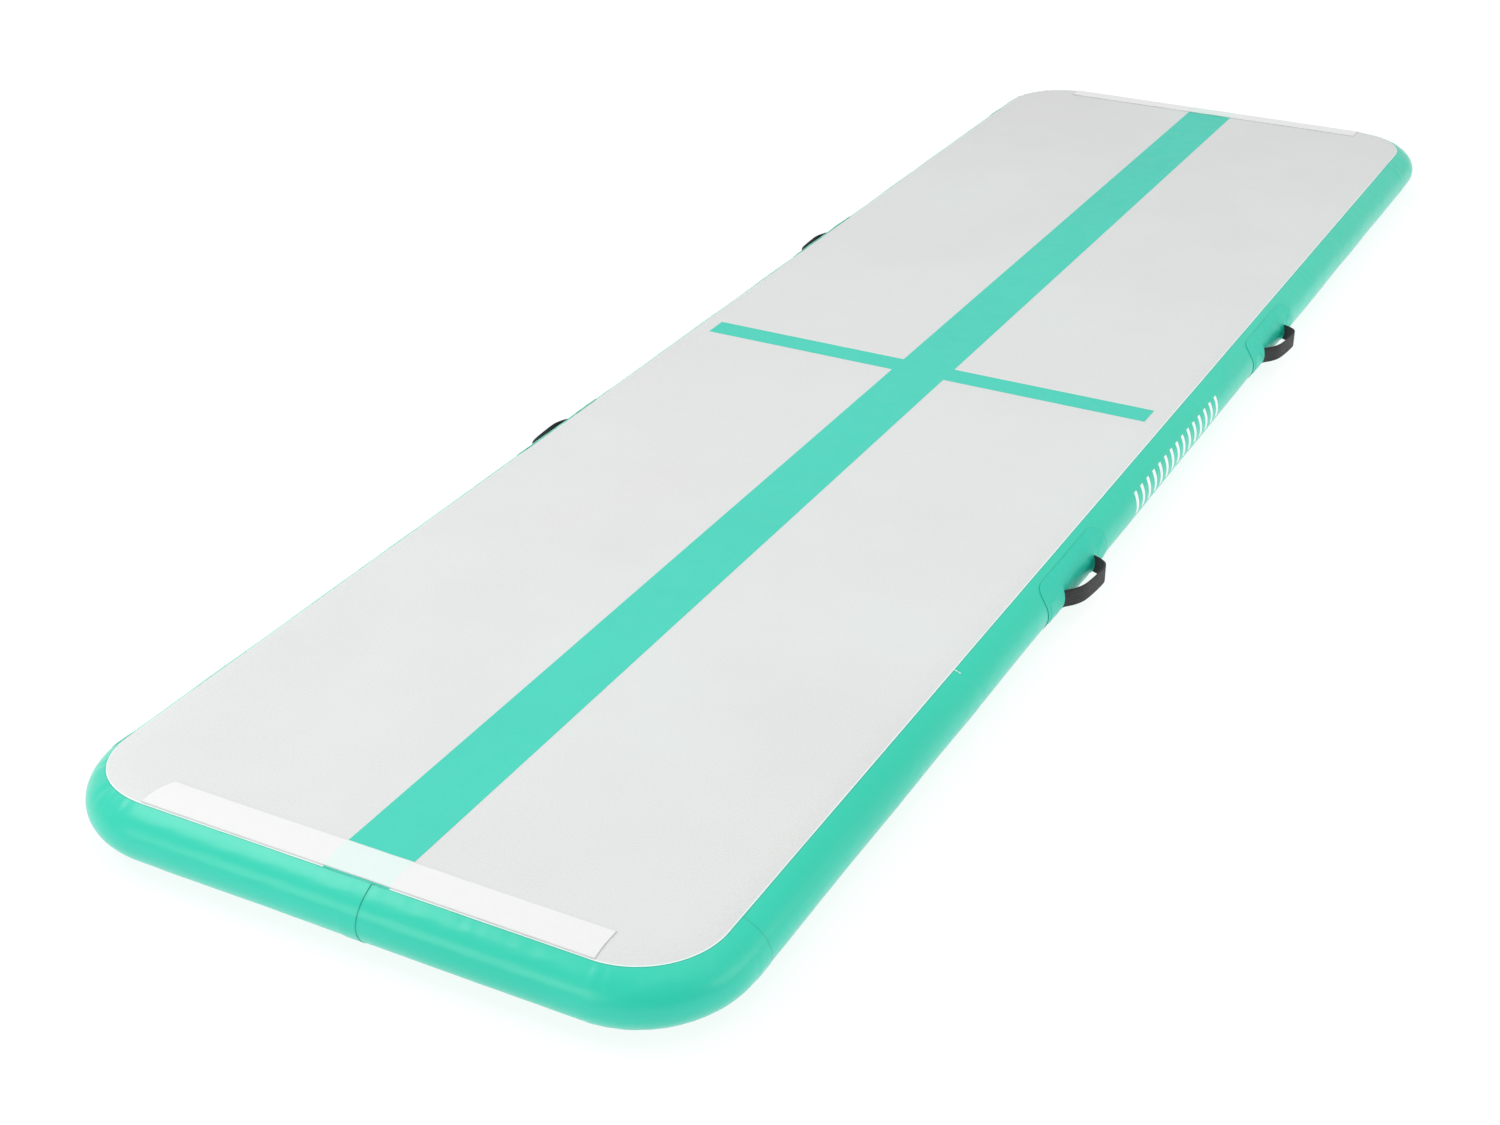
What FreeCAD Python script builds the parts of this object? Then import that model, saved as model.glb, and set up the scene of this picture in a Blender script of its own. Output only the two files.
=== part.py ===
"""Inflatable air track mat: drop-stitch core, PVC skins, glued side walls, webbing handles, air valve.

Millimetres.  X is across the mat, Y along it, Z up.  The origin is under the middle of the mat, on the
floor.  The mat is symmetric about X = 0 and Y = 0 apart from the valve, the lap joints and a small
offset of the left pair of handles.
"""

import FreeCAD
import Part

import math
import os

V = FreeCAD.Vector
TINY = 1e-6

# ---------------------------------------------------------------- driving dimensions of the mat
MAT_LENGTH = 3500.0       # over the bulged end walls
MAT_WIDTH = 1000.0        # over the bulged side walls
MAT_HEIGHT = 100.0        # inflated thickness, floor to top sheet
CORNER_RADIUS = 160.0     # plan radius of the outermost line of the side wall
BULGE = 75.0              # how far the inflated wall stands out past the last row of drop threads
BORDER_ANGLE = 28.0       # degrees down the wall's ellipse from the flat top to the sheets' glued edge

SHEET = 0.8               # PVC top sheet, bottom sheet and outer wall strips
CORE_CLOTH = 0.5          # woven plies of the drop-stitch core, and the inner wall that joins them
INNER_TAPE = 0.5          # air-tight tape glued inside along the core's edge
TAPE_ON_CORE = 25.0       # width of that tape on the flat core
TAPE_ANGLE = 45.0         # degrees down the wall that the tape reaches
THREAD_PITCH = 100.0      # between neighbouring thread bundles
THREAD_DIAMETER = 3.0     # one solid stands for a bundle of fine yarns
THREAD_MARGIN = 8.0       # clear of the inner tape

LAP = 25.0                # length of a wall strip's overlap on the next strip
LAP_ROOT = 8.0            # length of the overlap layer on its own strip
NEAR_SEAM_SETBACK = 10.0  # near side seams, past the end of the corner arc
FAR_SEAM_SETBACK = 80.0   # far side seams, before the start of the corner arc

# ---------------------------------------------------------------- markings and joining strips
STRIPE_WIDTH = 101.0
BAR_WIDTH = 50.0
BAR_TO_SIDE = 70.0        # each end of the cross bar, in from the mat's widest line
FILM = 0.3                # thickness of the stripe and bar films
FILM_FACES = 6            # a film's way down the shoulder is this many faces, so both its sides mesh alike
STRIP_TO_SIDE = 155.0     # each end of a hook-and-loop strip, in from the mat's widest line
STRIP_WIDTH = 50.0
STRIP_THICKNESS = 1.6
STRIP_TO_BORDER = 2.5     # outer edge of a strip to the glued border, measured flat in plan

# ---------------------------------------------------------------- handles
HANDLE_Y = 520.0          # right-hand handles, from the middle of the mat
LEFT_OFFSET = 50.0        # the left pair sits this much further along +Y
WEB_WIDTH = 30.0
WEB_THICKNESS = 2.2
TAIL_THICKNESS = 1.4      # the webbing's flattened ends under the patch
TAIL_LENGTH = 48.0
GRIP_SPAN = 132.0         # between the two slits that the webbing comes out of
GRIP_DEPTH = 33.0         # from the wall to the outer face of the loop
NEAR_SHOULDER = 46.0      # how much nearer the middle the loop's near outer corner is than its slit
FAR_SHOULDER = 20.0       # the same for its far corner: the loop leans to the far end
GRIP_CORNER = 18.0
HINGE_OUT = 5.0           # hinge line of the loop, out from the wall
ROOT_HALF_WIDTH = 2.2     # the loop's legs narrow to this at the hinge line
ROOT_SLOPE = 1.055        # length of their taper for each millimetre that they widen by
PATCH_LENGTH = 252.0
PATCH_HALF_ANGLE = 50.0   # degrees each way from the wall's widest line
PATCH_CORNER = 30.0
TAIL_HALF_ANGLE = 45.0    # degrees each way that the webbing's ends may reach down the wall
SLIT_GAP = 0.4            # webbing end to the patch around it

# ---------------------------------------------------------------- air valve, far end wall
VALVE_TO_CORNER = 60.0    # valve's axis, from the start of the corner arc towards the middle
SEAT_DEPTH = 1.0          # flat valve seat, in from the widest line of the end wall
STEM_RADIUS = 2.8
STEM_CLEARANCE = 0.1
BORE_RADIUS = 15.0
NECK_WALL = 3.0           # wall of the threaded neck around the bore
NECK_LENGTH = 20.0        # inwards from the seat's inner face
NECK_CLEARANCE = 0.2
FLANGE_MARGIN = 6.0       # flange past the neck
FLANGE_THICKNESS = 2.5
GASKET_THICKNESS = 0.8
GASKET_INSET = 1.0        # gasket's edge inside the flange's
NUT_MARGIN = 1.5          # clamping nut's flange past the body's
NUT_FLANGE = 2.5
NUT_WALL = 3.5
NUT_LENGTH = 14.0
BOOT_MARGIN = 6.0         # round stand of the moulded boot, past the flange
BOOT_WALL = 2.0
BRIM_WIDTH = 10.0         # the boot's brim welded on the wall
HUB_DEPTH = 15.0          # outer face of the spider's hub, in from the seat face
HUB_THICKNESS = 2.5
HUB_WALL = 4.2            # hub past the stem
SPIDER_ARM = 3.0
SPIDER_TURNS = (45, 165, 285)   # degrees round the axis, clear of the lugs' slot
ARM_ROOT = 1.0            # length of a spider arm let into the neck's wall
LUG_LENGTH = 2.4          # the stem's two locking lugs, out from the stem
LUG_WIDTH = 2.0
LUG_HEIGHT = 1.5
LUG_CLEARANCE = 0.4
PUSH_TRAVEL = 6.0         # of the stem
LUG_PASS = 1.0            # lugs past the hub's inner face with the stem pushed in
SPRING_TO_STEM = 3.4      # mean radius of the coil past the stem
SPRING_WIRE = 0.9
SPRING_TURNS = 4.0
COIL_STEPS = 16           # sections in a turn of the coil, each with WIRE_STEPS points round the wire
WIRE_STEPS = 12
SPRING_SEAT_THICKNESS = 1.0
BUTTON_MARGIN = 0.8       # button past the coil's mean radius
BUTTON_THICKNESS = 2.5
BUTTON_OUT = 1.2          # outer face of the button past the seat face
DISC_MARGIN = 1.8         # closing disc past the bore
DISC_THICKNESS = 2.0
SEAL_INSET = 0.4          # disc seal's edge inside the disc's
SEAL_THICKNESS = 1.2
SEAL_LIP = 1.4            # disc seal inside the bore

CAP_GAP = 0.3             # cap to the valve's flange
CAP_INSET = 3.5           # cap's edge inside the flange's
CAP_PLATE = 0.9
CAP_TOP = 1.3
GROOVE_DEPTH = 2.1
GROOVE_WIDTH = 1.6
GRIP_BAR_INSET = 6.5      # each end of the cap's grip bar, in from the cap's edge
GRIP_BAR_WIDTH = 5.0
GRIP_BAR_HEIGHT = 1.7
GRIP_BAR_ROUND = 0.6
PLUG_CLEARANCE = 0.6      # cap's plug to the bore
PLUG_WALL = 1.8
PLUG_DEPTH = 4.5
ORING_WIRE = 0.7
ORING_TO_BORE = 0.15
RING_WALL = 3.9           # swivel ring, from the cap's groove outwards
RING_CLEARANCE = 0.3
TETHER_RING = 2.0         # radial width of the tether's base ring around the flange
TETHER_RING_SHY = 0.4     # base ring thinner than the flange
TETHER_WIDTH = 6.0
TETHER_THICKNESS = 1.1
TETHER_PAST_BOOT = 5.0    # furthest point of the strap's fold past the boot's stand

# ---------------------------------------------------------------- derived sizes
HALF_W = MAT_WIDTH / 2
HALF_L = MAT_LENGTH / 2
MID_Z = MAT_HEIGHT / 2
FLAT_X = HALF_W - BULGE           # edge of the flat top, across
FLAT_Y = HALF_L - BULGE
ARC_X = HALF_W - CORNER_RADIUS    # where the corner arcs begin
ARC_Y = HALF_L - CORNER_RADIUS
FLAT_CORNER = CORNER_RADIUS - BULGE
SIDE_OFFSET = [FLAT_X, FLAT_Y, FLAT_X, FLAT_Y]   # right, far, left, near
SIDE_ARC = [ARC_Y, ARC_X, ARC_Y, ARC_X]
LINER = SHEET + CORE_CLOTH
STRIP_LENGTH = MAT_WIDTH - 2 * STRIP_TO_SIDE
BAR_REACH = HALF_W - BAR_TO_SIDE
PATCH_THICKNESS = TAIL_THICKNESS + SHEET   # over the webbing's ends
ROOT_TAPER = ROOT_SLOPE * (WEB_WIDTH / 2 - ROOT_HALF_WIDTH)

VALVE_X = -(ARC_X - VALVE_TO_CORNER)
NECK_RADIUS = BORE_RADIUS + NECK_WALL
FLANGE_RADIUS = NECK_RADIUS + FLANGE_MARGIN
GASKET_RADIUS = FLANGE_RADIUS - GASKET_INSET
NUT_RADIUS = FLANGE_RADIUS + NUT_MARGIN
NUT_TUBE_RADIUS = NECK_RADIUS + NUT_WALL
BOOT_RADIUS = FLANGE_RADIUS + BOOT_MARGIN
BOOT_BRIM = BOOT_RADIUS + BRIM_WIDTH
HUB_RADIUS = STEM_RADIUS + HUB_WALL
LUG_REACH = STEM_RADIUS + LUG_LENGTH
SPRING_RADIUS = STEM_RADIUS + SPRING_TO_STEM
BUTTON_RADIUS = SPRING_RADIUS + BUTTON_MARGIN
DISC_RADIUS = BORE_RADIUS + DISC_MARGIN
SEAL_INNER = BORE_RADIUS - SEAL_LIP
CAP_RADIUS = FLANGE_RADIUS - CAP_INSET
GROOVE_RADIUS = CAP_RADIUS - GROOVE_DEPTH
PLUG_RADIUS = BORE_RADIUS - PLUG_CLEARANCE
PLUG_BORE = PLUG_RADIUS - PLUG_WALL
RING_OUTER = GROOVE_RADIUS + RING_CLEARANCE + RING_WALL
TETHER_REACH = BOOT_RADIUS + TETHER_PAST_BOOT
LUG_Y = -HUB_DEPTH + PUSH_TRAVEL - HUB_THICKNESS - LUG_HEIGHT - LUG_PASS   # lugs with the valve closed


# ---------------------------------------------------------------- wall cross-sections
# A cross-section lies in the XZ plane.  Its u = 0 is the edge of the flat top, and u grows outwards.
# The wall is a half ellipse; a point on it is given by its angle down from the flat top.

def wall_point(angle, offset):
    """Point of the wall's ellipse, grown outwards by offset, at that angle."""
    a = math.radians(angle)
    return V((BULGE + offset) * math.sin(a), 0, MID_Z + (MID_Z + offset) * math.cos(a))


def wall_arc(start, end, offset):
    """Edge along the grown ellipse from one angle to another."""
    centre = V(0, 0, MID_Z)
    ellipse = Part.Ellipse(centre + V(BULGE + offset, 0, 0), centre + V(0, 0, MID_Z + offset), centre)
    low, high = math.radians(90 - max(start, end)), math.radians(90 - min(start, end))
    return Part.ArcOfEllipse(ellipse, low, high).toShape()


def face_from(edges):
    """Planar face inside a closed loop of edges, given in any order."""
    return Part.Face(Part.Wire(Part.__sortEdges__(edges)))


def skin_section(start, end, inner, outer):
    """Cross-section of a skin between two offsets of the wall's ellipse."""
    ends = [Part.makeLine(wall_point(t, inner), wall_point(t, outer)) for t in (start, end)]
    return face_from([wall_arc(start, end, inner), wall_arc(start, end, outer)] + ends)


def sheet_section(flat, end, inner, outer, top=True):
    """Cross-section of a sheet that is flat for a width of flat, then follows the wall down to end."""
    corners = [V(-flat, 0, MAT_HEIGHT + inner), V(-flat, 0, MAT_HEIGHT + outer)]
    edges = [Part.makeLine(corners[0], corners[1])]
    for corner, offset in zip(corners, (inner, outer)):
        edges.append(Part.makeLine(corner, wall_point(0, offset)))
        edges.append(wall_arc(0, end, offset))
    edges.append(Part.makeLine(wall_point(end, inner), wall_point(end, outer)))
    face = face_from(edges)
    return face if top else face.mirror(V(0, 0, MID_Z), V(0, 0, 1))


# ---------------------------------------------------------------- runs around the mat
# Sides and corners are numbered anticlockwise from above: side 0 is the right one, then the far, left
# and near sides; corner k follows side k.  A place s along a side is counted from its middle.

def side_run(section, side, start, end):
    """Section extruded along one side from start to end."""
    solid = section.copy()
    solid.translate(V(SIDE_OFFSET[side], start, 0))
    solid = solid.extrude(V(0, end - start, 0))
    solid.rotate(V(0, 0, 0), V(0, 0, 1), 90 * side)
    return solid


def corner_turn(section, corner):
    """Section revolved round one corner."""
    solid = section.copy()
    solid.translate(V(FLAT_CORNER, 0, 0))
    solid = solid.revolve(V(0, 0, 0), V(0, 0, 1), 90)
    solid.rotate(V(0, 0, 0), V(0, 0, 1), 90 * corner)
    x, y = [(ARC_X, ARC_Y), (-ARC_X, ARC_Y), (-ARC_X, -ARC_Y), (ARC_X, -ARC_Y)][corner]
    solid.translate(V(x, y, 0))
    return solid


def join(shapes):
    return shapes[0].multiFuse(shapes[1:]) if len(shapes) > 1 else shapes[0]


def ring(section):
    """Section carried all the way round the mat."""
    sides = [side_run(section, k, -SIDE_ARC[k], SIDE_ARC[k]) for k in range(4)]
    return join(sides + [corner_turn(section, k) for k in range(4)])


def box(x0, x1, y0, y1, z0, z1):
    return Part.makeBox(x1 - x0, y1 - y0, z1 - z0, V(x0, y0, z0))


def rounded_plate(half_x, half_y, radius, z0, z1):
    """Flat plate with rounded corners."""
    cross = box(-half_x + radius, half_x - radius, -half_y, half_y, z0, z1)
    band = box(-half_x, half_x, -half_y + radius, half_y - radius, z0, z1)
    posts = [
        Part.makeCylinder(radius, z1 - z0, V(sx * (half_x - radius), sy * (half_y - radius), z0))
        for sx in (-1, 1) for sy in (-1, 1)
    ]
    return join([cross, band] + posts)


# ---------------------------------------------------------------- skins and core

def cover_sheet(top):
    """Top or bottom sheet: flat, then down the shoulder of the wall to the glued border."""
    ring_part = ring(sheet_section(FLAT_CORNER, BORDER_ANGLE, -SHEET, 0, top))
    z0, z1 = (MAT_HEIGHT - SHEET, MAT_HEIGHT) if top else (0, SHEET)
    return ring_part.fuse(box(-ARC_X, ARC_X, -ARC_Y, ARC_Y, z0, z1))


def core_ply(top):
    """Woven ply of the drop-stitch core, cut to the edge of the flat area."""
    z0 = MAT_HEIGHT - LINER if top else SHEET
    return rounded_plate(FLAT_X, FLAT_Y, FLAT_CORNER, z0, z0 + CORE_CLOTH)


def inner_tape(top):
    """Tape inside the mat that seals the core's ply to the inner wall."""
    return ring(sheet_section(TAPE_ON_CORE, TAPE_ANGLE, -LINER - INNER_TAPE, -LINER, top))


def drop_threads():
    """Thread bundles that hold the two plies of the core level, on a square grid."""
    clear = TAPE_ON_CORE + THREAD_MARGIN
    across = int((FLAT_X - clear) * 2 // THREAD_PITCH)
    along = int((FLAT_Y - clear) * 2 // THREAD_PITCH)
    threads = []
    for i in range(across + 1):
        for j in range(along + 1):
            x, y = (i - across / 2) * THREAD_PITCH, (j - along / 2) * THREAD_PITCH
            threads.append(Part.makeCylinder(THREAD_DIAMETER / 2, MAT_HEIGHT - 2 * LINER, V(x, y, LINER)))
    return Part.makeCompound(threads)


def wall_strips():
    """The six outer wall strips, each one lapped over the next one anticlockwise."""
    section = skin_section(BORDER_ANGLE, 180 - BORDER_ANGLE, -SHEET, 0)
    lap = skin_section(BORDER_ANGLE, 180 - BORDER_ANGLE, 0, SHEET)
    near_seam = -(ARC_Y - NEAR_SEAM_SETBACK)
    far_seam = ARC_Y - FAR_SEAM_SETBACK

    def strip(runs, corner, lap_side, lap_at):
        parts = [side_run(section, *run) for run in runs]
        if corner is not None:
            parts.append(corner_turn(section, corner))
        parts.append(side_run(lap, lap_side, lap_at - LAP_ROOT, lap_at + LAP))
        return join(parts)

    return {
        "wall_right": strip([(0, near_seam, far_seam)], None, 0, far_seam),
        "wall_far_right": strip([(0, far_seam, ARC_Y), (1, -ARC_X, 0)], 0, 1, 0),
        "wall_far_left": strip([(1, 0, ARC_X), (2, -ARC_Y, -far_seam)], 1, 2, -far_seam),
        "wall_left": strip([(2, -far_seam, -near_seam)], None, 2, -near_seam),
        "wall_near_left": strip([(2, -near_seam, ARC_Y), (3, -ARC_X, 0)], 2, 3, 0),
        "wall_near_right": strip([(3, 0, ARC_X), (0, -ARC_Y, near_seam)], 3, 0, near_seam),
    }


# ---------------------------------------------------------------- markings and joining strips

def angle_at(reach):
    """Angle on the wall's ellipse at a plan distance reach past the flat's edge."""
    return math.degrees(math.asin(reach / BULGE))


def along_section(start_y, end_y, thickness, reach):
    """Section, in the YZ plane, of a film on the top from start_y to the flat's edge at end_y, and reach
    past it down the shoulder, or short of it where reach is negative."""
    flat_end = [wall_point(0, o) + V(min(reach, 0), 0, 0) for o in (0, thickness)]
    back = [wall_point(0, o) - V(end_y - start_y, 0, 0) for o in (0, thickness)]
    edges = [Part.makeLine(flat_end[k], back[k]) for k in (0, 1)] + [Part.makeLine(*back)]
    if reach <= 0:
        return face_from(edges + [Part.makeLine(*flat_end)])
    end_cap = angle_at(reach)
    step = end_cap / FILM_FACES
    for offset in (0, thickness):
        edges += [wall_arc(k * step, (k + 1) * step, offset) for k in range(FILM_FACES)]
    return face_from(edges + [Part.makeLine(*[wall_point(end_cap, o) for o in (0, thickness)])])


def film(side, reach, start, width, thickness):
    """Film on the top, from start (a distance from the middle) out to reach past the flat on one side,
    and width wide, centred on the side's middle."""
    section = along_section(start, SIDE_OFFSET[side], thickness, reach)
    return side_run(section, side, -width / 2, width / 2)


def border_reach():
    return BULGE * math.sin(math.radians(BORDER_ANGLE))


def centre_stripe():
    halves = [film(side, border_reach(), 0, STRIPE_WIDTH, FILM) for side in (1, 3)]
    return join(halves)


def cross_bar(side):
    """One arm of the cross bar, butted against the centre stripe."""
    return film(side, BAR_REACH - FLAT_X, STRIPE_WIDTH / 2, BAR_WIDTH, FILM)


def joining_strip(side, stripe):
    """Hook-and-loop strip across one end, laid over the centre stripe."""
    outer = FLAT_Y + border_reach() - STRIP_TO_BORDER
    strip = film(side, outer - FLAT_Y, outer - STRIP_WIDTH, STRIP_LENGTH, STRIP_THICKNESS)
    return strip.cut(stripe)


# ---------------------------------------------------------------- handles

def rounded_window(y_half, z0, z1, radius, x0, x1):
    """Block along X with a rounded-rectangle outline, centred on y = 0."""
    block = box(x0, x1, -y_half, y_half, z0, z1)
    corners = [e for e in block.Edges if abs(e.Length - (x1 - x0)) < TINY]
    return block.makeFillet(radius, corners)


def handle_tails():
    """Flattened ends of the webbing, glued to the wall under the patch."""
    section = skin_section(90 - TAIL_HALF_ANGLE, 90 + TAIL_HALF_ANGLE, 0, TAIL_THICKNESS)
    layer = side_run(section, 0, -PATCH_LENGTH, PATCH_LENGTH)
    half = GRIP_SPAN / 2
    tails = []
    for sign in (-1, 1):
        y0, y1 = sorted((sign * half, sign * (half + TAIL_LENGTH)))
        z0, z1 = MID_Z - WEB_WIDTH / 2, MID_Z + WEB_WIDTH / 2
        tails.append(layer.common(box(FLAT_X, HALF_W + BULGE, y0, y1, z0, z1)))
    return Part.makeCompound(tails)


def handle_patch(tails):
    """Reinforcing patch over the webbing's ends, with a slit at the root of each leg."""
    start, end = 90 - PATCH_HALF_ANGLE, 90 + PATCH_HALF_ANGLE
    layer = side_run(skin_section(start, end, 0, PATCH_THICKNESS), 0, -PATCH_LENGTH, PATCH_LENGTH)
    z_low, z_high = wall_point(end, 0).z, wall_point(start, 0).z
    outline = rounded_window(PATCH_LENGTH / 2, z_low, z_high, PATCH_CORNER, FLAT_X, HALF_W + BULGE)
    patch = layer.common(outline).cut(tails)
    half = GRIP_SPAN / 2
    z0, z1 = MID_Z - WEB_WIDTH / 2 - SLIT_GAP, MID_Z + WEB_WIDTH / 2 + SLIT_GAP
    for sign in (-1, 1):
        y0, y1 = sorted((sign * (half - WEB_THICKNESS - SLIT_GAP), sign * half))
        patch = patch.cut(box(FLAT_X, HALF_W + BULGE, y0, y1, z0, z1))
    return patch


def handle_loop():
    """Webbing loop outside the patch.  Its legs narrow at the hinge line, so that it can swing."""
    z0, z1 = MID_Z - WEB_WIDTH / 2, MID_Z + WEB_WIDTH / 2

    def outline(inset, corner):
        root = GRIP_SPAN / 2 - inset
        depth = GRIP_DEPTH - inset
        points = [(0, -root), (depth, NEAR_SHOULDER - root), (depth, root - FAR_SHOULDER), (0, root)]
        wire = Part.makePolygon([V(HALF_W + x, y, z0) for x, y in points + points[:1]])
        block = Part.Face(wire).extrude(V(0, 0, z1 - z0))
        edges = [
            e for e in block.Edges
            if abs(e.Vertexes[0].X - HALF_W - depth) < TINY and abs(e.Length - (z1 - z0)) < TINY
        ]
        return block.makeFillet(corner, edges)

    band = outline(0, GRIP_CORNER).cut(outline(WEB_THICKNESS, GRIP_CORNER - WEB_THICKNESS))
    hinge = HALF_W + HINGE_OUT
    far = HALF_W + 2 * GRIP_DEPTH
    half = WEB_WIDTH / 2
    profile = [
        (hinge, -ROOT_HALF_WIDTH), (hinge + ROOT_TAPER, -half), (far, -half),
        (far, half), (hinge + ROOT_TAPER, half), (hinge, ROOT_HALF_WIDTH),
    ]
    wire = Part.makePolygon([V(x, -GRIP_SPAN, MID_Z + z) for x, z in profile + profile[:1]])
    return band.common(Part.Face(wire).extrude(V(0, 2 * GRIP_SPAN, 0)))


def handles():
    """Patch, webbing ends and loop of the four handles."""
    tails = handle_tails()
    kit = {"tails": tails, "patch": handle_patch(tails), "loop": handle_loop()}
    places = {
        "right_near": (False, -HANDLE_Y), "right_far": (False, HANDLE_Y),
        "left_near": (True, -HANDLE_Y + LEFT_OFFSET), "left_far": (True, HANDLE_Y + LEFT_OFFSET),
    }
    made = {}
    for place, (mirrored, y) in places.items():
        for piece, shape in kit.items():
            copy = shape.mirror(V(0, 0, 0), V(1, 0, 0)) if mirrored else shape.copy()
            copy.translate(V(0, y, 0))
            made["handle_%s_%s" % (place, piece)] = copy
    return made


# ---------------------------------------------------------------- air valve
# The valve is built about its own axis, along +Y outwards, from the seat face at y = 0, and is then
# carried to its place in the far end wall.

WALL_Y = SEAT_DEPTH - BULGE        # edge of the flat top, in the valve's own coordinates


def cylinder(radius, y0, y1):
    return Part.makeCylinder(radius, y1 - y0, V(0, y0, 0), V(0, 1, 0))


def tube(outer, inner, y0, y1):
    return cylinder(outer, y0, y1).cut(cylinder(inner, y0, y1))


def bar_block(x_half, z_half, y0, y1):
    return box(-x_half, x_half, y0, y1, -z_half, z_half)


def wall_body(offset):
    """Solid inside the end wall's ellipse grown by offset, around the valve."""
    arc = wall_arc(0, 180, offset)
    face = face_from([arc, Part.makeLine(wall_point(0, offset), wall_point(180, offset))])
    solid = face.extrude(V(0, 4 * BOOT_BRIM, 0))      # reaches well past the brim both ways
    solid.translate(V(0, -2 * BOOT_BRIM, -MID_Z))
    solid.rotate(V(0, 0, 0), V(0, 0, 1), 90)
    solid.translate(V(0, WALL_Y, 0))
    return solid


def valve_boot():
    """Moulded boot: a flat seat on a round stand, with a brim welded on the wall."""
    deep, high = WALL_Y, SEAT_DEPTH + 2 * SHEET
    plate = tube(BOOT_RADIUS, NECK_RADIUS + NECK_CLEARANCE, -BOOT_WALL, 0)
    outside = tube(BOOT_RADIUS, BOOT_RADIUS - BOOT_WALL, 0, high).common(wall_body(SHEET))
    inside = tube(BOOT_RADIUS, BOOT_RADIUS - BOOT_WALL, deep, -BOOT_WALL).cut(wall_body(-LINER))
    brim = tube(BOOT_BRIM, BOOT_RADIUS, deep, high).common(wall_body(SHEET)).cut(wall_body(0))
    return join([plate, outside, inside, brim])


def valve_fixed_parts():
    """Flanged body with its spider, gasket and the clamping nut inside the wall."""
    inner_face = -BOOT_WALL
    flange_y = GASKET_THICKNESS
    neck_end = inner_face - NECK_LENGTH
    body = join([
        tube(FLANGE_RADIUS, BORE_RADIUS, flange_y, flange_y + FLANGE_THICKNESS),
        tube(NECK_RADIUS, BORE_RADIUS, neck_end, flange_y + FLANGE_THICKNESS),
    ])
    hub_outer, hub_inner = -HUB_DEPTH, -HUB_DEPTH - HUB_THICKNESS
    hub = cylinder(HUB_RADIUS, hub_inner, hub_outer)
    for turn in SPIDER_TURNS:
        arm = box(0, BORE_RADIUS + ARM_ROOT, hub_inner, hub_outer, -SPIDER_ARM / 2, SPIDER_ARM / 2)
        arm.rotate(V(0, 0, 0), V(0, 1, 0), turn)
        hub = hub.fuse(arm)
    hub = hub.cut(cylinder(STEM_RADIUS + STEM_CLEARANCE, hub_inner, hub_outer))
    slot = bar_block(LUG_REACH + LUG_CLEARANCE, LUG_WIDTH / 2 + LUG_CLEARANCE, hub_inner, hub_outer)
    body = body.fuse(hub.cut(slot))
    nut = join([
        tube(NUT_RADIUS, NECK_RADIUS, inner_face - NUT_FLANGE, inner_face),
        tube(NUT_TUBE_RADIUS, NECK_RADIUS, inner_face - NUT_LENGTH, inner_face),
    ])
    gasket = tube(GASKET_RADIUS, NECK_RADIUS + NECK_CLEARANCE, 0, GASKET_THICKNESS)
    return {"valve_body": body, "valve_clamp_nut": nut, "valve_gasket": gasket}


def coil(rise):
    """Round wire wound up the Z axis, from a first turn centred on z = 0."""
    count = int(SPRING_TURNS * COIL_STEPS)
    lean = math.atan(rise / (SPRING_TURNS * 2 * math.pi * SPRING_RADIUS))
    rows = []
    for i in range(count + 1):
        turn = 2 * math.pi * i / COIL_STEPS
        out = V(math.cos(turn), math.sin(turn), 0)
        up = V(math.sin(turn) * math.sin(lean), -math.cos(turn) * math.sin(lean), math.cos(lean))
        centre = out * SPRING_RADIUS + V(0, 0, rise * i / count)
        around = [2 * math.pi * k / WIRE_STEPS for k in range(WIRE_STEPS)]
        row = [centre + (out * math.cos(t) + up * math.sin(t)) * (SPRING_WIRE / 2) for t in around]
        rows.append(row + row[:1])
    surface = Part.BSplineSurface()
    surface.interpolate(rows)
    side = surface.toShape()
    ends = [Part.Face(Part.Wire(e)) for e in side.Edges if e.Length < 4 * SPRING_WIRE]
    shell = Part.Shell([side] + ends)
    shell.sewShape()
    return Part.Solid(shell)


def valve_stem_parts():
    """Stem with button and lugs, closing disc with its seal, spring and spring seat."""
    neck_end = -BOOT_WALL - NECK_LENGTH
    seal_y = neck_end - SEAL_THICKNESS
    disc_y = seal_y - DISC_THICKNESS
    button_y = BUTTON_OUT - BUTTON_THICKNESS
    stem = join([
        cylinder(STEM_RADIUS, disc_y, button_y),
        cylinder(BUTTON_RADIUS, button_y, BUTTON_OUT),
        bar_block(LUG_REACH, LUG_WIDTH / 2, LUG_Y, LUG_Y + LUG_HEIGHT),
    ])
    disc = tube(DISC_RADIUS, STEM_RADIUS, disc_y, seal_y)
    seal = tube(DISC_RADIUS - SEAL_INSET, SEAL_INNER, seal_y, neck_end)
    seat_y = button_y - SPRING_SEAT_THICKNESS
    seat = tube(BUTTON_RADIUS, STEM_RADIUS + STEM_CLEARANCE, seat_y, button_y)
    free = seat_y + HUB_DEPTH - SPRING_WIRE
    spring = coil(free)
    spring.rotate(V(0, 0, 0), V(1, 0, 0), -90)
    spring.translate(V(0, -HUB_DEPTH + SPRING_WIRE / 2, 0))
    return {
        "valve_stem": stem, "valve_disc": disc, "valve_disc_seal": seal,
        "valve_spring_seat": seat, "valve_spring": spring,
    }


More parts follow.
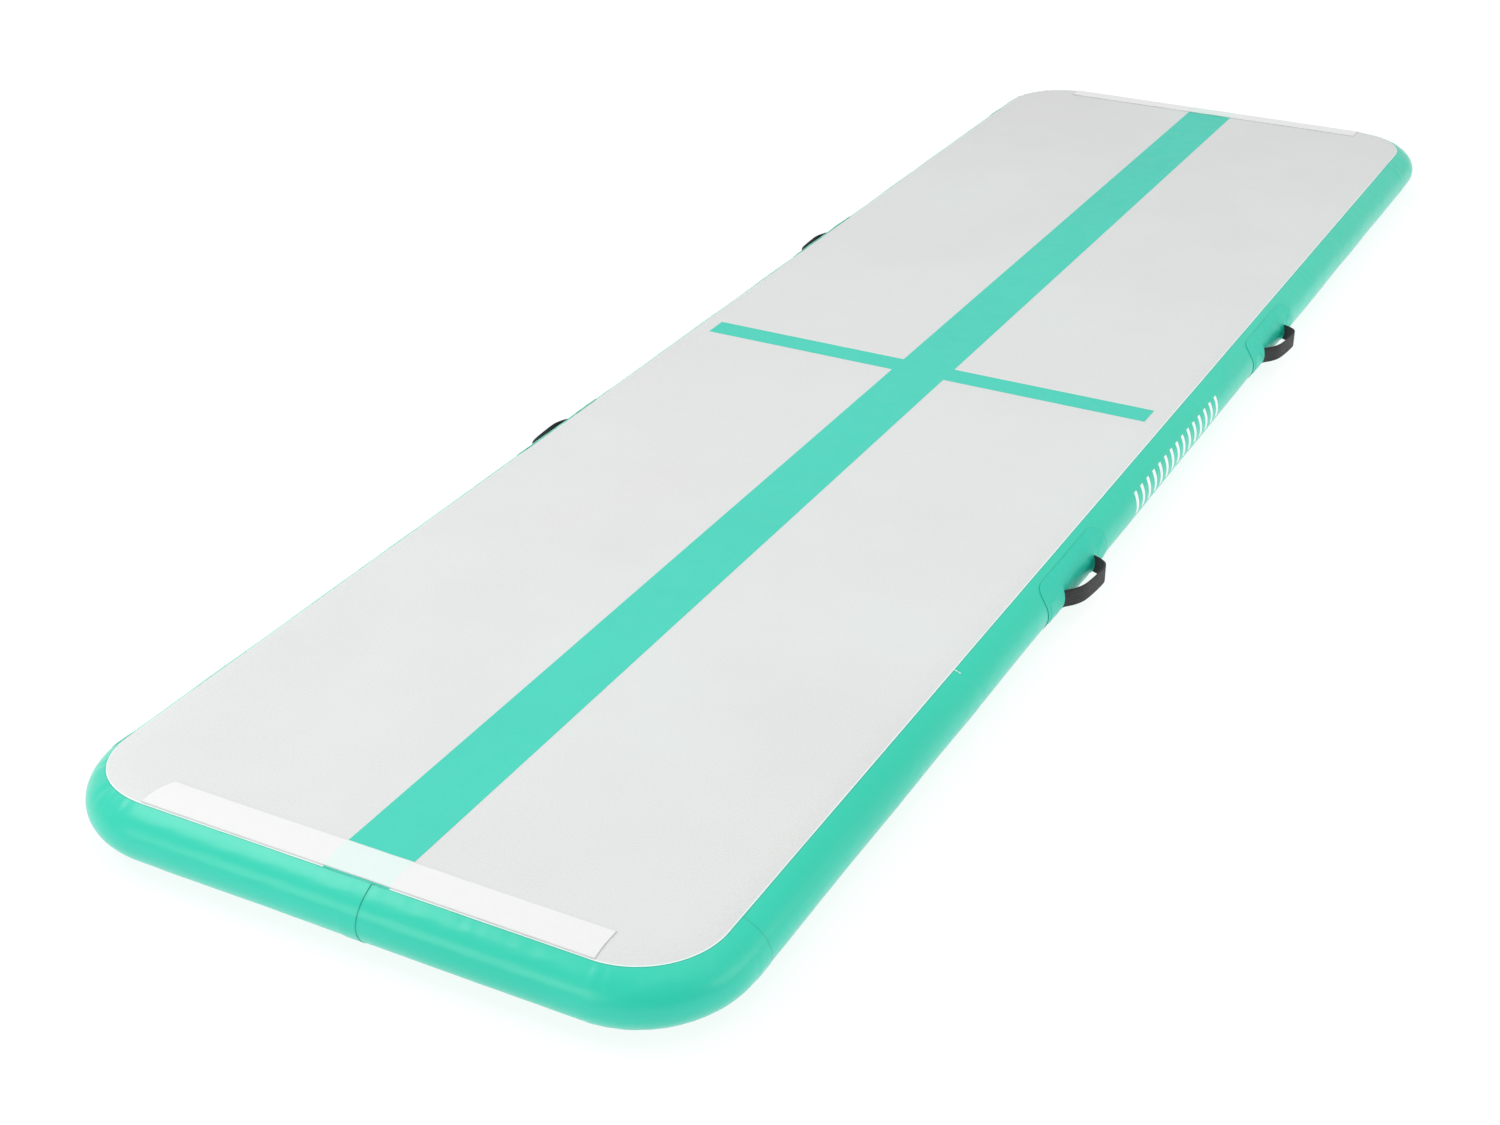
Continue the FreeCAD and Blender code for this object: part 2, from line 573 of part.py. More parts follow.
def valve_cap_parts():
    """Cap with its seal ring, the swivel ring in its groove, and the tether."""
    face = GASKET_THICKNESS + FLANGE_THICKNESS + CAP_GAP
    groove, top = face + CAP_PLATE, face + CAP_PLATE + GROOVE_WIDTH
    outer = top + CAP_TOP
    bar = bar_block(CAP_RADIUS - GRIP_BAR_INSET, GRIP_BAR_WIDTH / 2, outer, outer + GRIP_BAR_HEIGHT)
    bar = bar.makeFillet(GRIP_BAR_ROUND, [e for e in bar.Edges if e.BoundBox.YMin > outer + TINY])
    wire_centre = BORE_RADIUS - ORING_TO_BORE - ORING_WIRE
    ring_y = face - PLUG_DEPTH / 2
    oring = Part.makeTorus(wire_centre, ORING_WIRE, V(0, ring_y, 0), V(0, 1, 0))
    cap = join([
        cylinder(CAP_RADIUS, face, groove), cylinder(GROOVE_RADIUS, groove, top),
        cylinder(CAP_RADIUS, top, outer), bar,
        tube(PLUG_RADIUS, PLUG_BORE, face - PLUG_DEPTH, face),
    ]).cut(oring)
    slack = RING_CLEARANCE
    ring_low, ring_high = groove + slack / 2, top - slack / 2
    swivel = tube(RING_OUTER, GROOVE_RADIUS + slack, ring_low, ring_high)
    base_top = GASKET_THICKNESS + FLANGE_THICKNESS - TETHER_RING_SHY
    base_ring = tube(FLANGE_RADIUS + TETHER_RING, FLANGE_RADIUS, GASKET_THICKNESS, base_top)
    base_mid = (GASKET_THICKNESS + base_top) / 2
    ring_mid = (ring_low + ring_high) / 2
    fold = (ring_mid - base_mid) / 2
    half, x = TETHER_THICKNESS / 2, TETHER_WIDTH / 2
    bend_z = TETHER_REACH - fold - half
    lower = box(-x, x, base_mid - half, base_mid + half, FLANGE_RADIUS + TETHER_RING / 2, bend_z)
    upper = box(-x, x, ring_mid - half, ring_mid + half, RING_OUTER + slack, bend_z)
    centre, across = V(-x, (base_mid + ring_mid) / 2, bend_z), V(1, 0, 0)
    bend = Part.makeCylinder(fold + half, 2 * x, centre, across)
    beyond = box(-x, x, -TETHER_REACH, TETHER_REACH, bend_z, 2 * TETHER_REACH)
    bend = bend.cut(Part.makeCylinder(fold - half, 2 * x, centre, across)).common(beyond)
    tether = join([base_ring, lower, bend, upper])
    tether.rotate(V(0, 0, 0), V(0, 1, 0), 180)
    return {
        "valve_cap": cap, "valve_cap_seal": oring, "valve_swivel_ring": swivel, "valve_tether": tether,
    }


def to_valve_place(shape):
    shape.translate(V(VALVE_X, HALF_L - SEAT_DEPTH, MID_Z))
    return shape


# ---------------------------------------------------------------- assembly

def build():
    nodes = {
        "top_sheet": cover_sheet(True),
        "bottom_sheet": cover_sheet(False),
        "core_top_ply": core_ply(True),
        "core_bottom_ply": core_ply(False),
        "core_drop_threads": drop_threads(),
        "inner_tape_top": inner_tape(True),
        "inner_tape_bottom": inner_tape(False),
        "inner_wall": ring(skin_section(0, 180, -LINER, -SHEET)),
        "centre_stripe": centre_stripe(),
        "cross_bar_right": cross_bar(0),
        "cross_bar_left": cross_bar(2),
    }
    nodes.update(wall_strips())
    nodes["loop_strip_near"] = joining_strip(3, nodes["centre_stripe"])
    nodes["hook_strip_far"] = joining_strip(1, nodes["centre_stripe"])
    nodes.update(handles())

    valve = {"valve_boot": valve_boot()}
    for group in (valve_fixed_parts(), valve_stem_parts(), valve_cap_parts()):
        valve.update(group)
    nodes.update({name: to_valve_place(shape) for name, shape in valve.items()})
    hole = to_valve_place(cylinder(BOOT_RADIUS, -BULGE, BULGE))
    for name in ("wall_far_left", "inner_wall"):
        nodes[name] = nodes[name].cut(hole)
    return nodes


def main():
    os.makedirs("parts", exist_ok=True)
    for name, shape in sorted(build().items()):
        if not shape.isValid():
            print("not valid:", name)
        shape.exportStep("parts/%s.step" % name)
        print("%-28s solids %3d  volume %12.1f mm3" % (name, len(shape.Solids), shape.Volume))


main()
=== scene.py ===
"""Looks of the inflatable air track mat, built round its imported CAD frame.

Metres, in the row frame: X across the mat, Y along it, Z up from the floor.  The skins are sheets of PVC
swept round the mat on the wall's half ellipse.  The handles are straps.  The valve keeps its CAD parts, apart
from its spring and its tether.
"""

import math

import bmesh
import bpy
import numpy as np
from mathutils import Matrix, Vector


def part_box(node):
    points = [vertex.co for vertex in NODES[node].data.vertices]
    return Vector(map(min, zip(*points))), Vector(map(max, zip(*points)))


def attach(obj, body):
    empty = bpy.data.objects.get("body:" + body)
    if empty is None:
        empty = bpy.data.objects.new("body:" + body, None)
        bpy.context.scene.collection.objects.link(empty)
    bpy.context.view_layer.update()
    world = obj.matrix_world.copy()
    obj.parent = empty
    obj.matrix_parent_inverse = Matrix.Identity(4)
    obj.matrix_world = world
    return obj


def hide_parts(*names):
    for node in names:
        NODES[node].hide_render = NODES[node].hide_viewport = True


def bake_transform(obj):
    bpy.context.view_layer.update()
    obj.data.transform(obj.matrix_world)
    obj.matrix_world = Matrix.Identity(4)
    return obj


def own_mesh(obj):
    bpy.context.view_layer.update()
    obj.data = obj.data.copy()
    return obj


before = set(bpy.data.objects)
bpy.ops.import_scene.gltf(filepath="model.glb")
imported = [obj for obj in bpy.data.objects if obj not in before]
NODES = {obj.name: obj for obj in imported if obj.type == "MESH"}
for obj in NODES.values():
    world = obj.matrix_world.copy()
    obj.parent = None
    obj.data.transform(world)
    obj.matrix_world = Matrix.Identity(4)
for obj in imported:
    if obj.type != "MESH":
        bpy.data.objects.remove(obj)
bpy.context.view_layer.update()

# ---------------------------------------------------------------- driving values
BULGE = 0.075             # how far the inflated wall stands out past the flat top
CORNER = 0.16             # plan radius of the mat's outermost line
BORDER = 28.0             # degrees down the wall to the sheets' glued edge
BORDER_LEFT = 40.0        # the same on the left side, where the top sheet lies lower
SKIN = 0.0008             # PVC sheets and wall strips
PLY = 0.0005              # woven core cloth, and the tape inside
LAP = 0.025               # a wall strip's overlap on the next one
LAP_RISE = 0.008          # length over which it climbs onto that strip
STRAP_HALF = 0.015        # half the webbing's width
STRAP_THICK = 0.0022
TAIL_THICK = 0.0014
SLIT = 0.066              # from a handle's middle to each slit in its patch
TAIL = 0.048              # webbing under the patch past a slit
PATCH_HALF = 0.126
PATCH_ROUND = 0.03
PATCH_SPREAD = 50.0       # degrees each way from the wall's widest line
MARK_START_Y = -0.255     # generic mark on the right side: bars in a row
MARK_LENGTH = 0.45
MARK_TOP = 60.0           # degrees down the wall to its edges
MARK_FOOT = 97.0
MARK_PITCH = 0.030
LEFT_STAND = 0.84         # the left loops stand out less than the right ones, and hang down
LEFT_DROOP = 0.008
SPRING_WIRE = 0.0009
SPRING_TURNS = 4
TETHER_HALF = 0.003       # half the tether's width
TETHER_THICK = 0.0011
COLLAR_WIDTH = 0.002      # the tether's collar round the flange
COLLAR_THICK = 0.0021
COLLAR_ROUND = 0.0004
STRIPE_HALF = 0.0505      # half the centre stripe's width
FILM_THICK = 0.0003       # the stripe and the cross bar
FILM_GAP = 0.00002        # clearance under them
PILE_THICK = 0.0013       # the joining strips
PILE_TOP = 0.0014         # from the top sheet to their upper face
PATCH_GAP = 0.0001        # clearance under a handle's patch
TAPE_REACH = 0.025        # inner tape on the ply, in from the flat's edge
TAPE_ANGLE = 45.0         # degrees down the wall to its other edge
MODEL_SHARP = 50          # degrees between faces from which an edge is drawn sharp
TUBE_SHARP = 60
FLOOR_HALF = 60.0

flat_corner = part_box("core_top_ply")[1]
FLAT_X, FLAT_Y = flat_corner.x, flat_corner.y
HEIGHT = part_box("top_sheet")[1].z
MID = HEIGHT / 2
HALF_W, HALF_L = FLAT_X + BULGE, FLAT_Y + BULGE
ARC_X, ARC_Y = HALF_W - CORNER, HALF_L - CORNER
FLAT_CORNER = CORNER - BULGE
QUARTER = CORNER * math.pi / 2          # a corner's length on the outermost line
SIDES = [ARC_X, 2 * ARC_Y, 2 * ARC_X, 2 * ARC_Y, ARC_X]
AROUND = sum(SIDES) + 4 * QUARTER


# ---------------------------------------------------------------- the mat's surface
# p runs anticlockwise along the outermost line, from the middle of the near end.

def runs():
    """Straight sides and corners in order: (start p, length, corner centre or None, start point, angle of the
    outward direction in degrees)."""
    starts = [(0, -FLAT_Y), (FLAT_X, -ARC_Y), (ARC_X, FLAT_Y), (-FLAT_X, ARC_Y), (-ARC_X, -FLAT_Y)]
    centres = [(ARC_X, -ARC_Y), (ARC_X, ARC_Y), (-ARC_X, ARC_Y), (-ARC_X, -ARC_Y)]
    p, found = 0.0, []
    for k, length in enumerate(SIDES):
        found.append((p, length, None, starts[k], 90.0 * k - 90))
        p += length
        if k < 4:
            found.append((p, QUARTER, centres[k], None, 90.0 * k - 90))
            p += QUARTER
    return found


RUNS = runs()


def edge(p):
    """Edge of the flat top at each p: (points, outward directions), as arrays of pairs."""
    p = np.asarray(p, float)
    inside = np.mod(p, AROUND)
    at, out = np.zeros((len(p), 2)), np.zeros((len(p), 2))
    for start, length, centre, corner, angle in RUNS:
        here = (inside >= start - 1e-9) & (inside <= start + length + 1e-9)
        along = inside[here] - start
        if centre is None:
            a = math.radians(angle)
            n = np.array([math.cos(a), math.sin(a)])
            at[here] = np.array(corner) + along[:, None] * np.array([-n[1], n[0]])
            out[here] = n
        else:
            a = math.radians(angle) + along / CORNER
            n = np.stack([np.cos(a), np.sin(a)], 1)
            at[here] = np.array(centre) + FLAT_CORNER * n
            out[here] = n
    return at, out


def stations(start, end, straight=0.006, bent=0.004):
    """Values of p from start to end, with a value on every joint of the outline."""
    marks = [start, end]
    for turn in (-1, 0, 1):
        marks += [r[0] + turn * AROUND for r in RUNS]
    marks = sorted({round(m, 9) for m in marks if start <= m <= end})
    values = []
    for a, b in zip(marks, marks[1:]):
        middle = (a + b) / 2 % AROUND
        curved = any(r[2] is not None and r[0] <= middle <= r[0] + r[1] for r in RUNS)
        count = max(1, math.ceil((b - a) / (bent if curved else straight)))
        values += list(np.linspace(a, b, count + 1)[:-1])
    return np.array(values + [end])


ANGLES = np.linspace(0, math.pi, 721)
ARCS = np.concatenate([[0], np.cumsum(np.hypot(
    np.diff(BULGE * np.sin(ANGLES)), np.diff(MID * np.cos(ANGLES))
))])


def arc_at(degrees):
    """Length down the wall's ellipse from the flat top."""
    return np.interp(np.radians(degrees), ANGLES, ARCS)


def angle_at(length):
    return np.degrees(np.interp(length, ARCS, ANGLES))


def skin_points(p, down, lift, under=False):
    """Grid of points, rows by columns.  down is metres in from the flat's edge where it is negative, and
    degrees down the wall elsewhere.  Both it and lift, which raises the surface, may be grids."""
    at, out = edge(p)
    down = np.asarray(down, float)
    if down.ndim == 1:
        down = down[:, None]
    lift = np.broadcast_to(lift, (len(down), len(at)))
    a = np.radians(np.maximum(down, 0))
    reach = np.where(down < 0, down, (BULGE + lift) * np.sin(a))
    z = MID + (MID + lift) * np.cos(a)
    if under:
        z = HEIGHT - z
    xy = at[None] + reach[..., None] * out[None]
    return np.concatenate([xy, z[..., None]], 2)


def smooth(x, a, b):
    """0 before a, 1 after b, smooth between."""
    t = np.clip((x - a) / (b - a), 0, 1)
    return t * t * (3 - 2 * t)


def border(p):
    """Degrees down the wall to the top sheet's glued edge."""
    inside = np.mod(p, AROUND)
    end = AROUND - SIDES[0]
    start = end - SIDES[3] - 2 * QUARTER
    left = smooth(inside, start, start + QUARTER) * (1 - smooth(inside, end - QUARTER, end))
    return BORDER + (BORDER_LEFT - BORDER) * left


def bump(x, centre, width):
    return np.exp(-(((x - centre) / width) ** 2))


def ripple(x, y, pitch_x, pitch_y, seed, count=7):
    """Irregular waves between -1 and 1 or so, about pitch_x by pitch_y long."""
    rng = np.random.default_rng(seed)
    total = 0
    for _ in range(count):
        fx, fy = rng.uniform(0.4, 1.5, 2)
        total = total + np.sin(2 * math.pi * (fx * x / pitch_x + fy * y / pitch_y) + rng.uniform(0, 6.28))
    return total / math.sqrt(count * 2)


# ---------------------------------------------------------------- meshes

def add(name, mesh, sharp=MODEL_SHARP):
    """Object of a mesh, shaded smooth except at edges sharper than that many degrees."""
    mesh.polygons.foreach_set("use_smooth", [True] * len(mesh.polygons))
    mesh.set_sharp_from_angle(angle=math.radians(sharp))
    thing = bpy.data.objects.new(name, mesh)
    bpy.context.scene.collection.objects.link(thing)
    return thing


def rims(points, closed):
    """Distances of each point of a grid from the sheet's edges, across and along it.  A closed ring or cover
    has only the edge at its last row."""
    found = []
    for axis in (0, 1):
        step = np.linalg.norm(np.diff(points, axis=axis), axis=2)
        length = np.insert(np.cumsum(step, axis), 0, 0, axis)
        left = length.take([-1], axis) - length
        found.append(left if closed else np.minimum(length, left))
    if closed:
        found[1] = np.ones_like(found[0])
    return np.stack(found, -1)


def shell(name, outer, inner, uv, closed=False):
    """Closed thin sheet between two grids of points.  Rows by columns; closed joins the last column to the
    first.  uv is a grid of pairs in metres."""
    rim = rims(outer, closed)
    rows, cols = outer.shape[:2]
    count = rows * cols
    points = np.concatenate([outer.reshape(-1, 3), inner.reshape(-1, 3)])
    flat = np.concatenate([np.concatenate([uv, rim], -1).reshape(-1, 4)] * 2)
    last = cols if closed else cols - 1
    i, j = np.meshgrid(np.arange(rows - 1), np.arange(last), indexing="ij")
    k = (j + 1) % cols
    a, b, c, d = (i * cols + j, i * cols + k, (i + 1) * cols + k, (i + 1) * cols + j)
    front = np.stack([a, d, c, b], -1).reshape(-1, 4)
    back = (np.stack([a, b, c, d], -1) + count).reshape(-1, 4)
    j = np.arange(last)
    k = (j + 1) % cols
    top = np.stack([j, k, k + count, j + count], -1)
    low = (rows - 1) * cols
    bottom = np.stack([low + k, low + j, low + j + count, low + k + count], -1)
    faces = [front, back, top, bottom]
    if not closed:
        i = np.arange(rows - 1) * cols
        faces.append(np.stack([i + cols, i, i + count, i + cols + count], -1))
        i = i + cols - 1
        faces.append(np.stack([i, i + cols, i + cols + count, i + count], -1))
    return from_arrays(name, points, np.concatenate(faces).tolist(), flat)


def from_arrays(name, points, faces, flat, sharp=MODEL_SHARP):
    """Object with a UV map in metres, flat, and where flat gives four values a point, a second one, rim."""
    mesh = bpy.data.meshes.new(name)
    mesh.from_pydata(points.tolist(), [], faces)
    corners = np.zeros(len(mesh.loops), np.int64)
    mesh.loops.foreach_get("vertex_index", corners)
    for k, layer_name in enumerate(("flat", "rim")[:flat.shape[1] // 2]):
        layer = mesh.uv_layers.new(name=layer_name)
        pairs = flat[:, 2 * k:2 * k + 2]
        layer.data.foreach_set("uv", pairs[corners].astype(np.float32).ravel())
    return add(name, mesh, sharp)


def weld(thing, distance=1e-6):
    bm = bmesh.new()
    bm.from_mesh(thing.data)
    bmesh.ops.remove_doubles(bm, verts=bm.verts, dist=distance)
    bmesh.ops.dissolve_degenerate(bm, edges=bm.edges, dist=distance)
    bm.to_mesh(thing.data)
    bm.free()
    return thing


def tube_faces(rows, cols):
    """Faces of a tube whose points lie ring after ring, with a cap on each end."""
    i, j = np.meshgrid(np.arange(rows - 1), np.arange(cols), indexing="ij")
    k = (j + 1) % cols
    corners = [i * cols + j, i * cols + k, (i + 1) * cols + k, (i + 1) * cols + j]
    quads = np.stack(corners, -1).reshape(-1, 4).tolist()
    return quads + [list(range(cols))[::-1], list(range((rows - 1) * cols, rows * cols))]


def tube(name, centres, across, normals, half, thick, sides=6):
    """Strap with rounded edges along centres.  thick may change along it."""
    half, thick = np.broadcast_to(half, len(centres)), np.broadcast_to(thick, len(centres))
    turn = np.linspace(0, math.pi, sides + 1)
    loop = []
    widths = np.linspace(-1, 1, 9)
    for w in widths[:-1]:
        loop.append((w, 1.0, 0.0))
    for t in turn:
        loop.append((1.0, math.cos(t), math.sin(t)))
    for w in widths[::-1][1:-1]:
        loop.append((w, -1.0, 0.0))
    for t in turn[::-1]:
        loop.append((-1.0, math.cos(t), -math.sin(t)))
    loop = loop[:-1]
    flat_half = (half - thick / 2)[:, None]
    w, up, side = (np.array([x[k] for x in loop])[None] for k in range(3))
    wide = flat_half * w + thick[:, None] / 2 * side
    high = thick[:, None] / 2 * up
    points = centres[:, None] + wide[..., None] * across[:, None] + high[..., None] * normals[:, None]
    rows, cols = wide.shape
    length = np.concatenate([[0], np.cumsum(np.linalg.norm(np.diff(centres, axis=0), axis=1))])
    uv = np.stack([np.broadcast_to(length[:, None], wide.shape), wide], -1).reshape(-1, 2)
    return from_arrays(name, points.reshape(-1, 3), tube_faces(rows, cols), uv, TUBE_SHARP)


# ---------------------------------------------------------------- materials

def linear(r, g, b):
    """Screen colour, 0 to 255, as linear light."""
    shares = (c / 255 for c in (r, g, b))
    return tuple(c / 12.92 if c <= 10 / 255 else ((c + 0.055) / 1.055) ** 2.4 for c in shares) + (1,)


class Finish:
    """A node material.  Its flat coordinates are the mesh's UV map, in metres."""

    def __init__(self, name, colour, rough, **sockets):
        self.material = bpy.data.materials.new(name)
        self.material.use_nodes = True
        self.tree = self.material.node_tree
        self.shader = self.tree.nodes["Principled BSDF"]
        self.shader.inputs["Base Color"].default_value = colour
        self.shader.inputs["Roughness"].default_value = rough
        for socket, value in sockets.items():
            self.shader.inputs[socket.replace("_", " ")].default_value = value
        self.colour = colour
        self.bumped = None

    def node(self, kind, **settings):
        made = self.tree.nodes.new("ShaderNode" + kind)
        for key, value in settings.items():
            setattr(made, key, value)
        return made

    def put(self, made, socket, value):
        if hasattr(value, "is_output"):
            self.tree.links.new(value, made.inputs[socket])
        else:
            made.inputs[socket].default_value = value

    def math(self, operation, a, b=0.0, c=0.0):
        made = self.node("Math", operation=operation)
        for k, value in enumerate((a, b, c)):
            self.put(made, k, value)
        return made.outputs[0]

    def flat(self, layer="flat"):
        split = self.node("SeparateXYZ")
        self.put(split, 0, self.node("UVMap", uv_map=layer).outputs[0])
        return split.outputs[0], split.outputs[1]

    def ramp(self, value, start, end, low, high, kind="LINEAR"):
        """low up to start, high past end, and a gradual change between them."""
        made = self.node("MapRange", interpolation_type=kind)
        for k, number in enumerate((value, start, end, low, high)):
            self.put(made, k, number)
        return made.outputs[0]

    def edged(self, width, colour, share):
        """Paints a line along the sheet's edges."""
        near = self.math("MINIMUM", *self.flat("rim"))
        return self.paint(self.ramp(near, width * 0.5, width * 1.2, share, 0.0, "SMOOTHSTEP"), colour)

    def place(self):
        return self.node("TexCoord").outputs["Object"]

    def noise(self, scale, detail=3.0, rough=0.55, where=None):
        made = self.node("TexNoise")
        self.put(made, "Vector", self.place() if where is None else where)
        for socket, value in (("Scale", scale), ("Detail", detail), ("Roughness", rough)):
            self.put(made, socket, value)
        return made.outputs[0]

    def wave(self, value, pitch, phase=0.0):
        return self.math("SINE", self.math("MULTIPLY_ADD", value, 2 * math.pi / pitch, phase))

    def weave(self, pitch):
        """Plain weave, 0 to 1: over and under threads."""
        u, v = self.flat()
        both = self.math("MULTIPLY", self.wave(u, pitch), self.wave(v, pitch))
        return self.math("MULTIPLY_ADD", both, 0.5, 0.5)

    def bars(self):
        """1 inside a row of plain slanted bars on the right-hand wall."""
        u, v = self.flat()
        top, foot = float(arc_at(MARK_TOP)), float(arc_at(MARK_FOOT))
        along = self.math("SUBTRACT", u, p_of(1, MARK_START_Y))
        lean = self.math("MULTIPLY_ADD", self.math("SUBTRACT", v, foot), 0.4, along)
        share = self.math("FRACT", self.math("DIVIDE", lean, MARK_PITCH))
        bar = self.math("LESS_THAN", share, 0.36)
        for value, low, high in ((lean, 0.0, MARK_LENGTH), (v, top, foot)):
            inside = self.math("GREATER_THAN", value, low)
            inside = self.math("MULTIPLY", inside, self.math("LESS_THAN", value, high))
            bar = self.math("MULTIPLY", bar, inside)
        return bar

    def mix(self, factor, a, b):
        made = self.node("Mix", data_type="RGBA")
        self.put(made, 0, factor)
        self.put(made, 6, a)
        self.put(made, 7, b)
        return made.outputs[2]

    def spread(self, factor, low, high):
        """Stretches a noise, which keeps mostly between 0.3 and 0.7, to the range from low to high."""
        return self.ramp(factor, 0.3, 0.7, low, high)

    def bump(self, height, depth, strength=1.0):
        made = self.node("Bump")
        self.put(made, "Strength", strength)
        self.put(made, "Distance", depth)
        self.put(made, "Height", height)
        if self.bumped is not None:
            self.put(made, "Normal", self.bumped)
        self.bumped = made.outputs[0]
        self.put(self.shader, "Normal", self.bumped)
        return self

    def paint(self, factor, other):
        """Mixes the colour so far with another one."""
        self.colour = self.mix(factor, self.colour, other)
        self.put(self.shader, "Base Color", self.colour)
        return self

    def rough(self, factor, low, high):
        self.put(self.shader, "Roughness", self.spread(factor, low, high))
        return self


def shade(colour, share):
    return tuple(c * share for c in colour[:3]) + (1,)


GREY = linear(221, 222, 221)
TEAL = linear(46, 214, 187)
FILM = linear(56, 206, 183)
WHITE = linear(232, 233, 232)


def pvc(name, colour, rough, pitch=0.0012, depth=0.00005, speckle=0.25, **sockets):
    """Coated cloth: the weave shows faintly through the coat, with slow changes of tone and gloss."""
    made = Finish(name, colour, rough, **sockets)
    weave = made.weave(pitch)
    made.paint(made.spread(made.noise(5.0), 0.0, 0.6), shade(colour, 0.93))
    made.paint(made.math("MULTIPLY", weave, 0.14), shade(colour, 0.78))
    made.paint(made.spread(made.noise(330.0, 2.0, 0.7), 0.0, speckle), shade(colour, 0.80))
    made.rough(made.noise(30.0), rough * 0.9, rough * 1.12)
    made.bump(weave, depth)
    return made


def make_materials():
    made = {}
    grey = pvc("grey_pvc", GREY, 0.62, pitch=0.0016, depth=0.00006, speckle=0.6)
    grey.paint(grey.spread(grey.noise(3.0), 0.0, 0.5), linear(214, 221, 219))
    made["grey"] = grey.edged(0.0018, linear(236, 250, 246), 0.8)
    wall = pvc("teal_pvc", TEAL, 0.34, Coat_Weight=0.3, Coat_Roughness=0.2, Specular_IOR_Level=0.35)
    # Painted shade: the wall's upper part is darkened towards a deeper teal down to 62 degrees, fading out by
    # 88.
    painted_upper_shade = wall.ramp(wall.flat()[1], float(arc_at(62)), float(arc_at(88)), 0.8, 0.0, "SMOOTHSTEP")
    wall.paint(painted_upper_shade, linear(26, 203, 172))
    wall.paint(wall.spread(wall.noise(2.2, 2.0), 0.0, 0.55), linear(20, 196, 166))
    wall.paint(wall.bars(), linear(240, 246, 244))
    wall.edged(0.0016, linear(30, 150, 130), 0.55)
    made["teal"] = wall
    # The patch's teal is a darker copy of the wall's: painted shade for its wrinkles.
    made["patch"] = pvc("teal_patch", linear(34, 205, 177), 0.4, Coat_Weight=0.1, Specular_IOR_Level=0.35)
    made["patch"].edged(0.0012, linear(30, 160, 138), 0.6)
    made["film"] = pvc("teal_film", FILM, 0.5)
    strip = Finish("hook_and_loop", WHITE, 0.85, Sheen_Weight=0.25, Sheen_Roughness=0.5)
    across = strip.math("ABSOLUTE", strip.flat()[0])
    over_stripe = strip.ramp(across, STRIPE_HALF - 0.001, STRIPE_HALF + 0.001, 0.75, 0.0)
    strip.paint(over_stripe, linear(214, 239, 233))
    pile = strip.noise(900.0, 2.0, 0.7)
    strip.paint(strip.spread(pile, 0.0, 0.4), shade(WHITE, 0.84)).bump(pile, 0.0005, 0.8)
    # Painted shadow: a grey line along the strip's edges, where it stands on the sheet.
    strip.edged(0.0012, linear(196, 200, 200), 0.5)
    made["strip"] = strip
    web = Finish("black_webbing", linear(23, 23, 25), 0.7, Sheen_Weight=0.12, Sheen_Roughness=0.4)
    u, v = web.flat()
    herring = web.wave(web.math("ADD", u, web.math("PINGPONG", v, 0.0025)), 0.0016)
    ribs = web.wave(v, 0.0025)
    height = web.math("MULTIPLY_ADD", herring, 0.5, web.math("MULTIPLY", ribs, 0.3))
    web.paint(web.math("MULTIPLY_ADD", herring, 0.2, 0.3), linear(9, 9, 10))
    web.paint(web.math("MULTIPLY", web.noise(700.0), 0.4), linear(62, 62, 66))
    selvedge = web.ramp(web.math("ABSOLUTE", v), STRAP_HALF - 0.0032, STRAP_HALF - 0.0022, 0.0, 0.85)
    web.paint(selvedge, linear(6, 6, 7))
    web.bump(height, 0.00035)
    made["web"] = web
    cloth = Finish("core_cloth", linear(238, 238, 232), 0.8, Sheen_Weight=0.2)
    threads = cloth.weave(0.001)
    cloth.paint(cloth.math("MULTIPLY", threads, 0.3), linear(205, 205, 198)).bump(threads, 0.0002)
    made["cloth"] = cloth
    made["tape"] = pvc("inner_tape", linear(205, 208, 208), 0.5)
    return made


def hard(name, colour, rough, grain, depth, worn, **sockets):
    """Moulded or metal part: fine grain, a little wear and dust."""
    made = Finish(name, colour, rough, **sockets)
    speck = made.noise(grain, 4.0)
    made.paint(made.spread(made.noise(60.0), 0.0, 0.6), worn)
    made.rough(made.noise(180.0), rough * 0.8, min(1.0, rough * 1.3))
    made.bump(speck, depth)
    return made


# ---------------------------------------------------------------- shape of the wall

SEAM_NEAR = SIDES[0] + QUARTER + 0.010                     # right side, past the near corner
SEAM_FAR = SIDES[0] + QUARTER + SIDES[1] - 0.080           # right side, before the far corner
HALF_ROUND = SIDES[0] + SIDES[1] + 2 * QUARTER + SIDES[2] / 2
SEAMS = [0.0, SEAM_NEAR, SEAM_FAR, HALF_ROUND, AROUND - SEAM_FAR, AROUND - SEAM_NEAR, AROUND]
STRIPS = ["wall_near_right", "wall_right", "wall_far_right", "wall_far_left", "wall_left", "wall_near_left"]
HANDLES = {
    "right_near": (1, -0.52), "right_far": (1, 0.52), "left_near": (-1, -0.47), "left_far": (-1, 0.57),
}


def p_of(side, y):
    """p of a point on the right (1) or left (-1) side."""
    start = SIDES[0] + QUARTER
    return start + (y + ARC_Y) if side > 0 else AROUND - start - (y + ARC_Y)


GRIPS = [p_of(*place) for place in HANDLES.values()]
CREASES = [                                                # place, lean and depth of each short crease
    (p_of(1, -0.90), 0.25, 0.0007), (p_of(1, 1.02), -0.2, 0.0004), (p_of(-1, 0.1), 0.3, 0.0005),
]


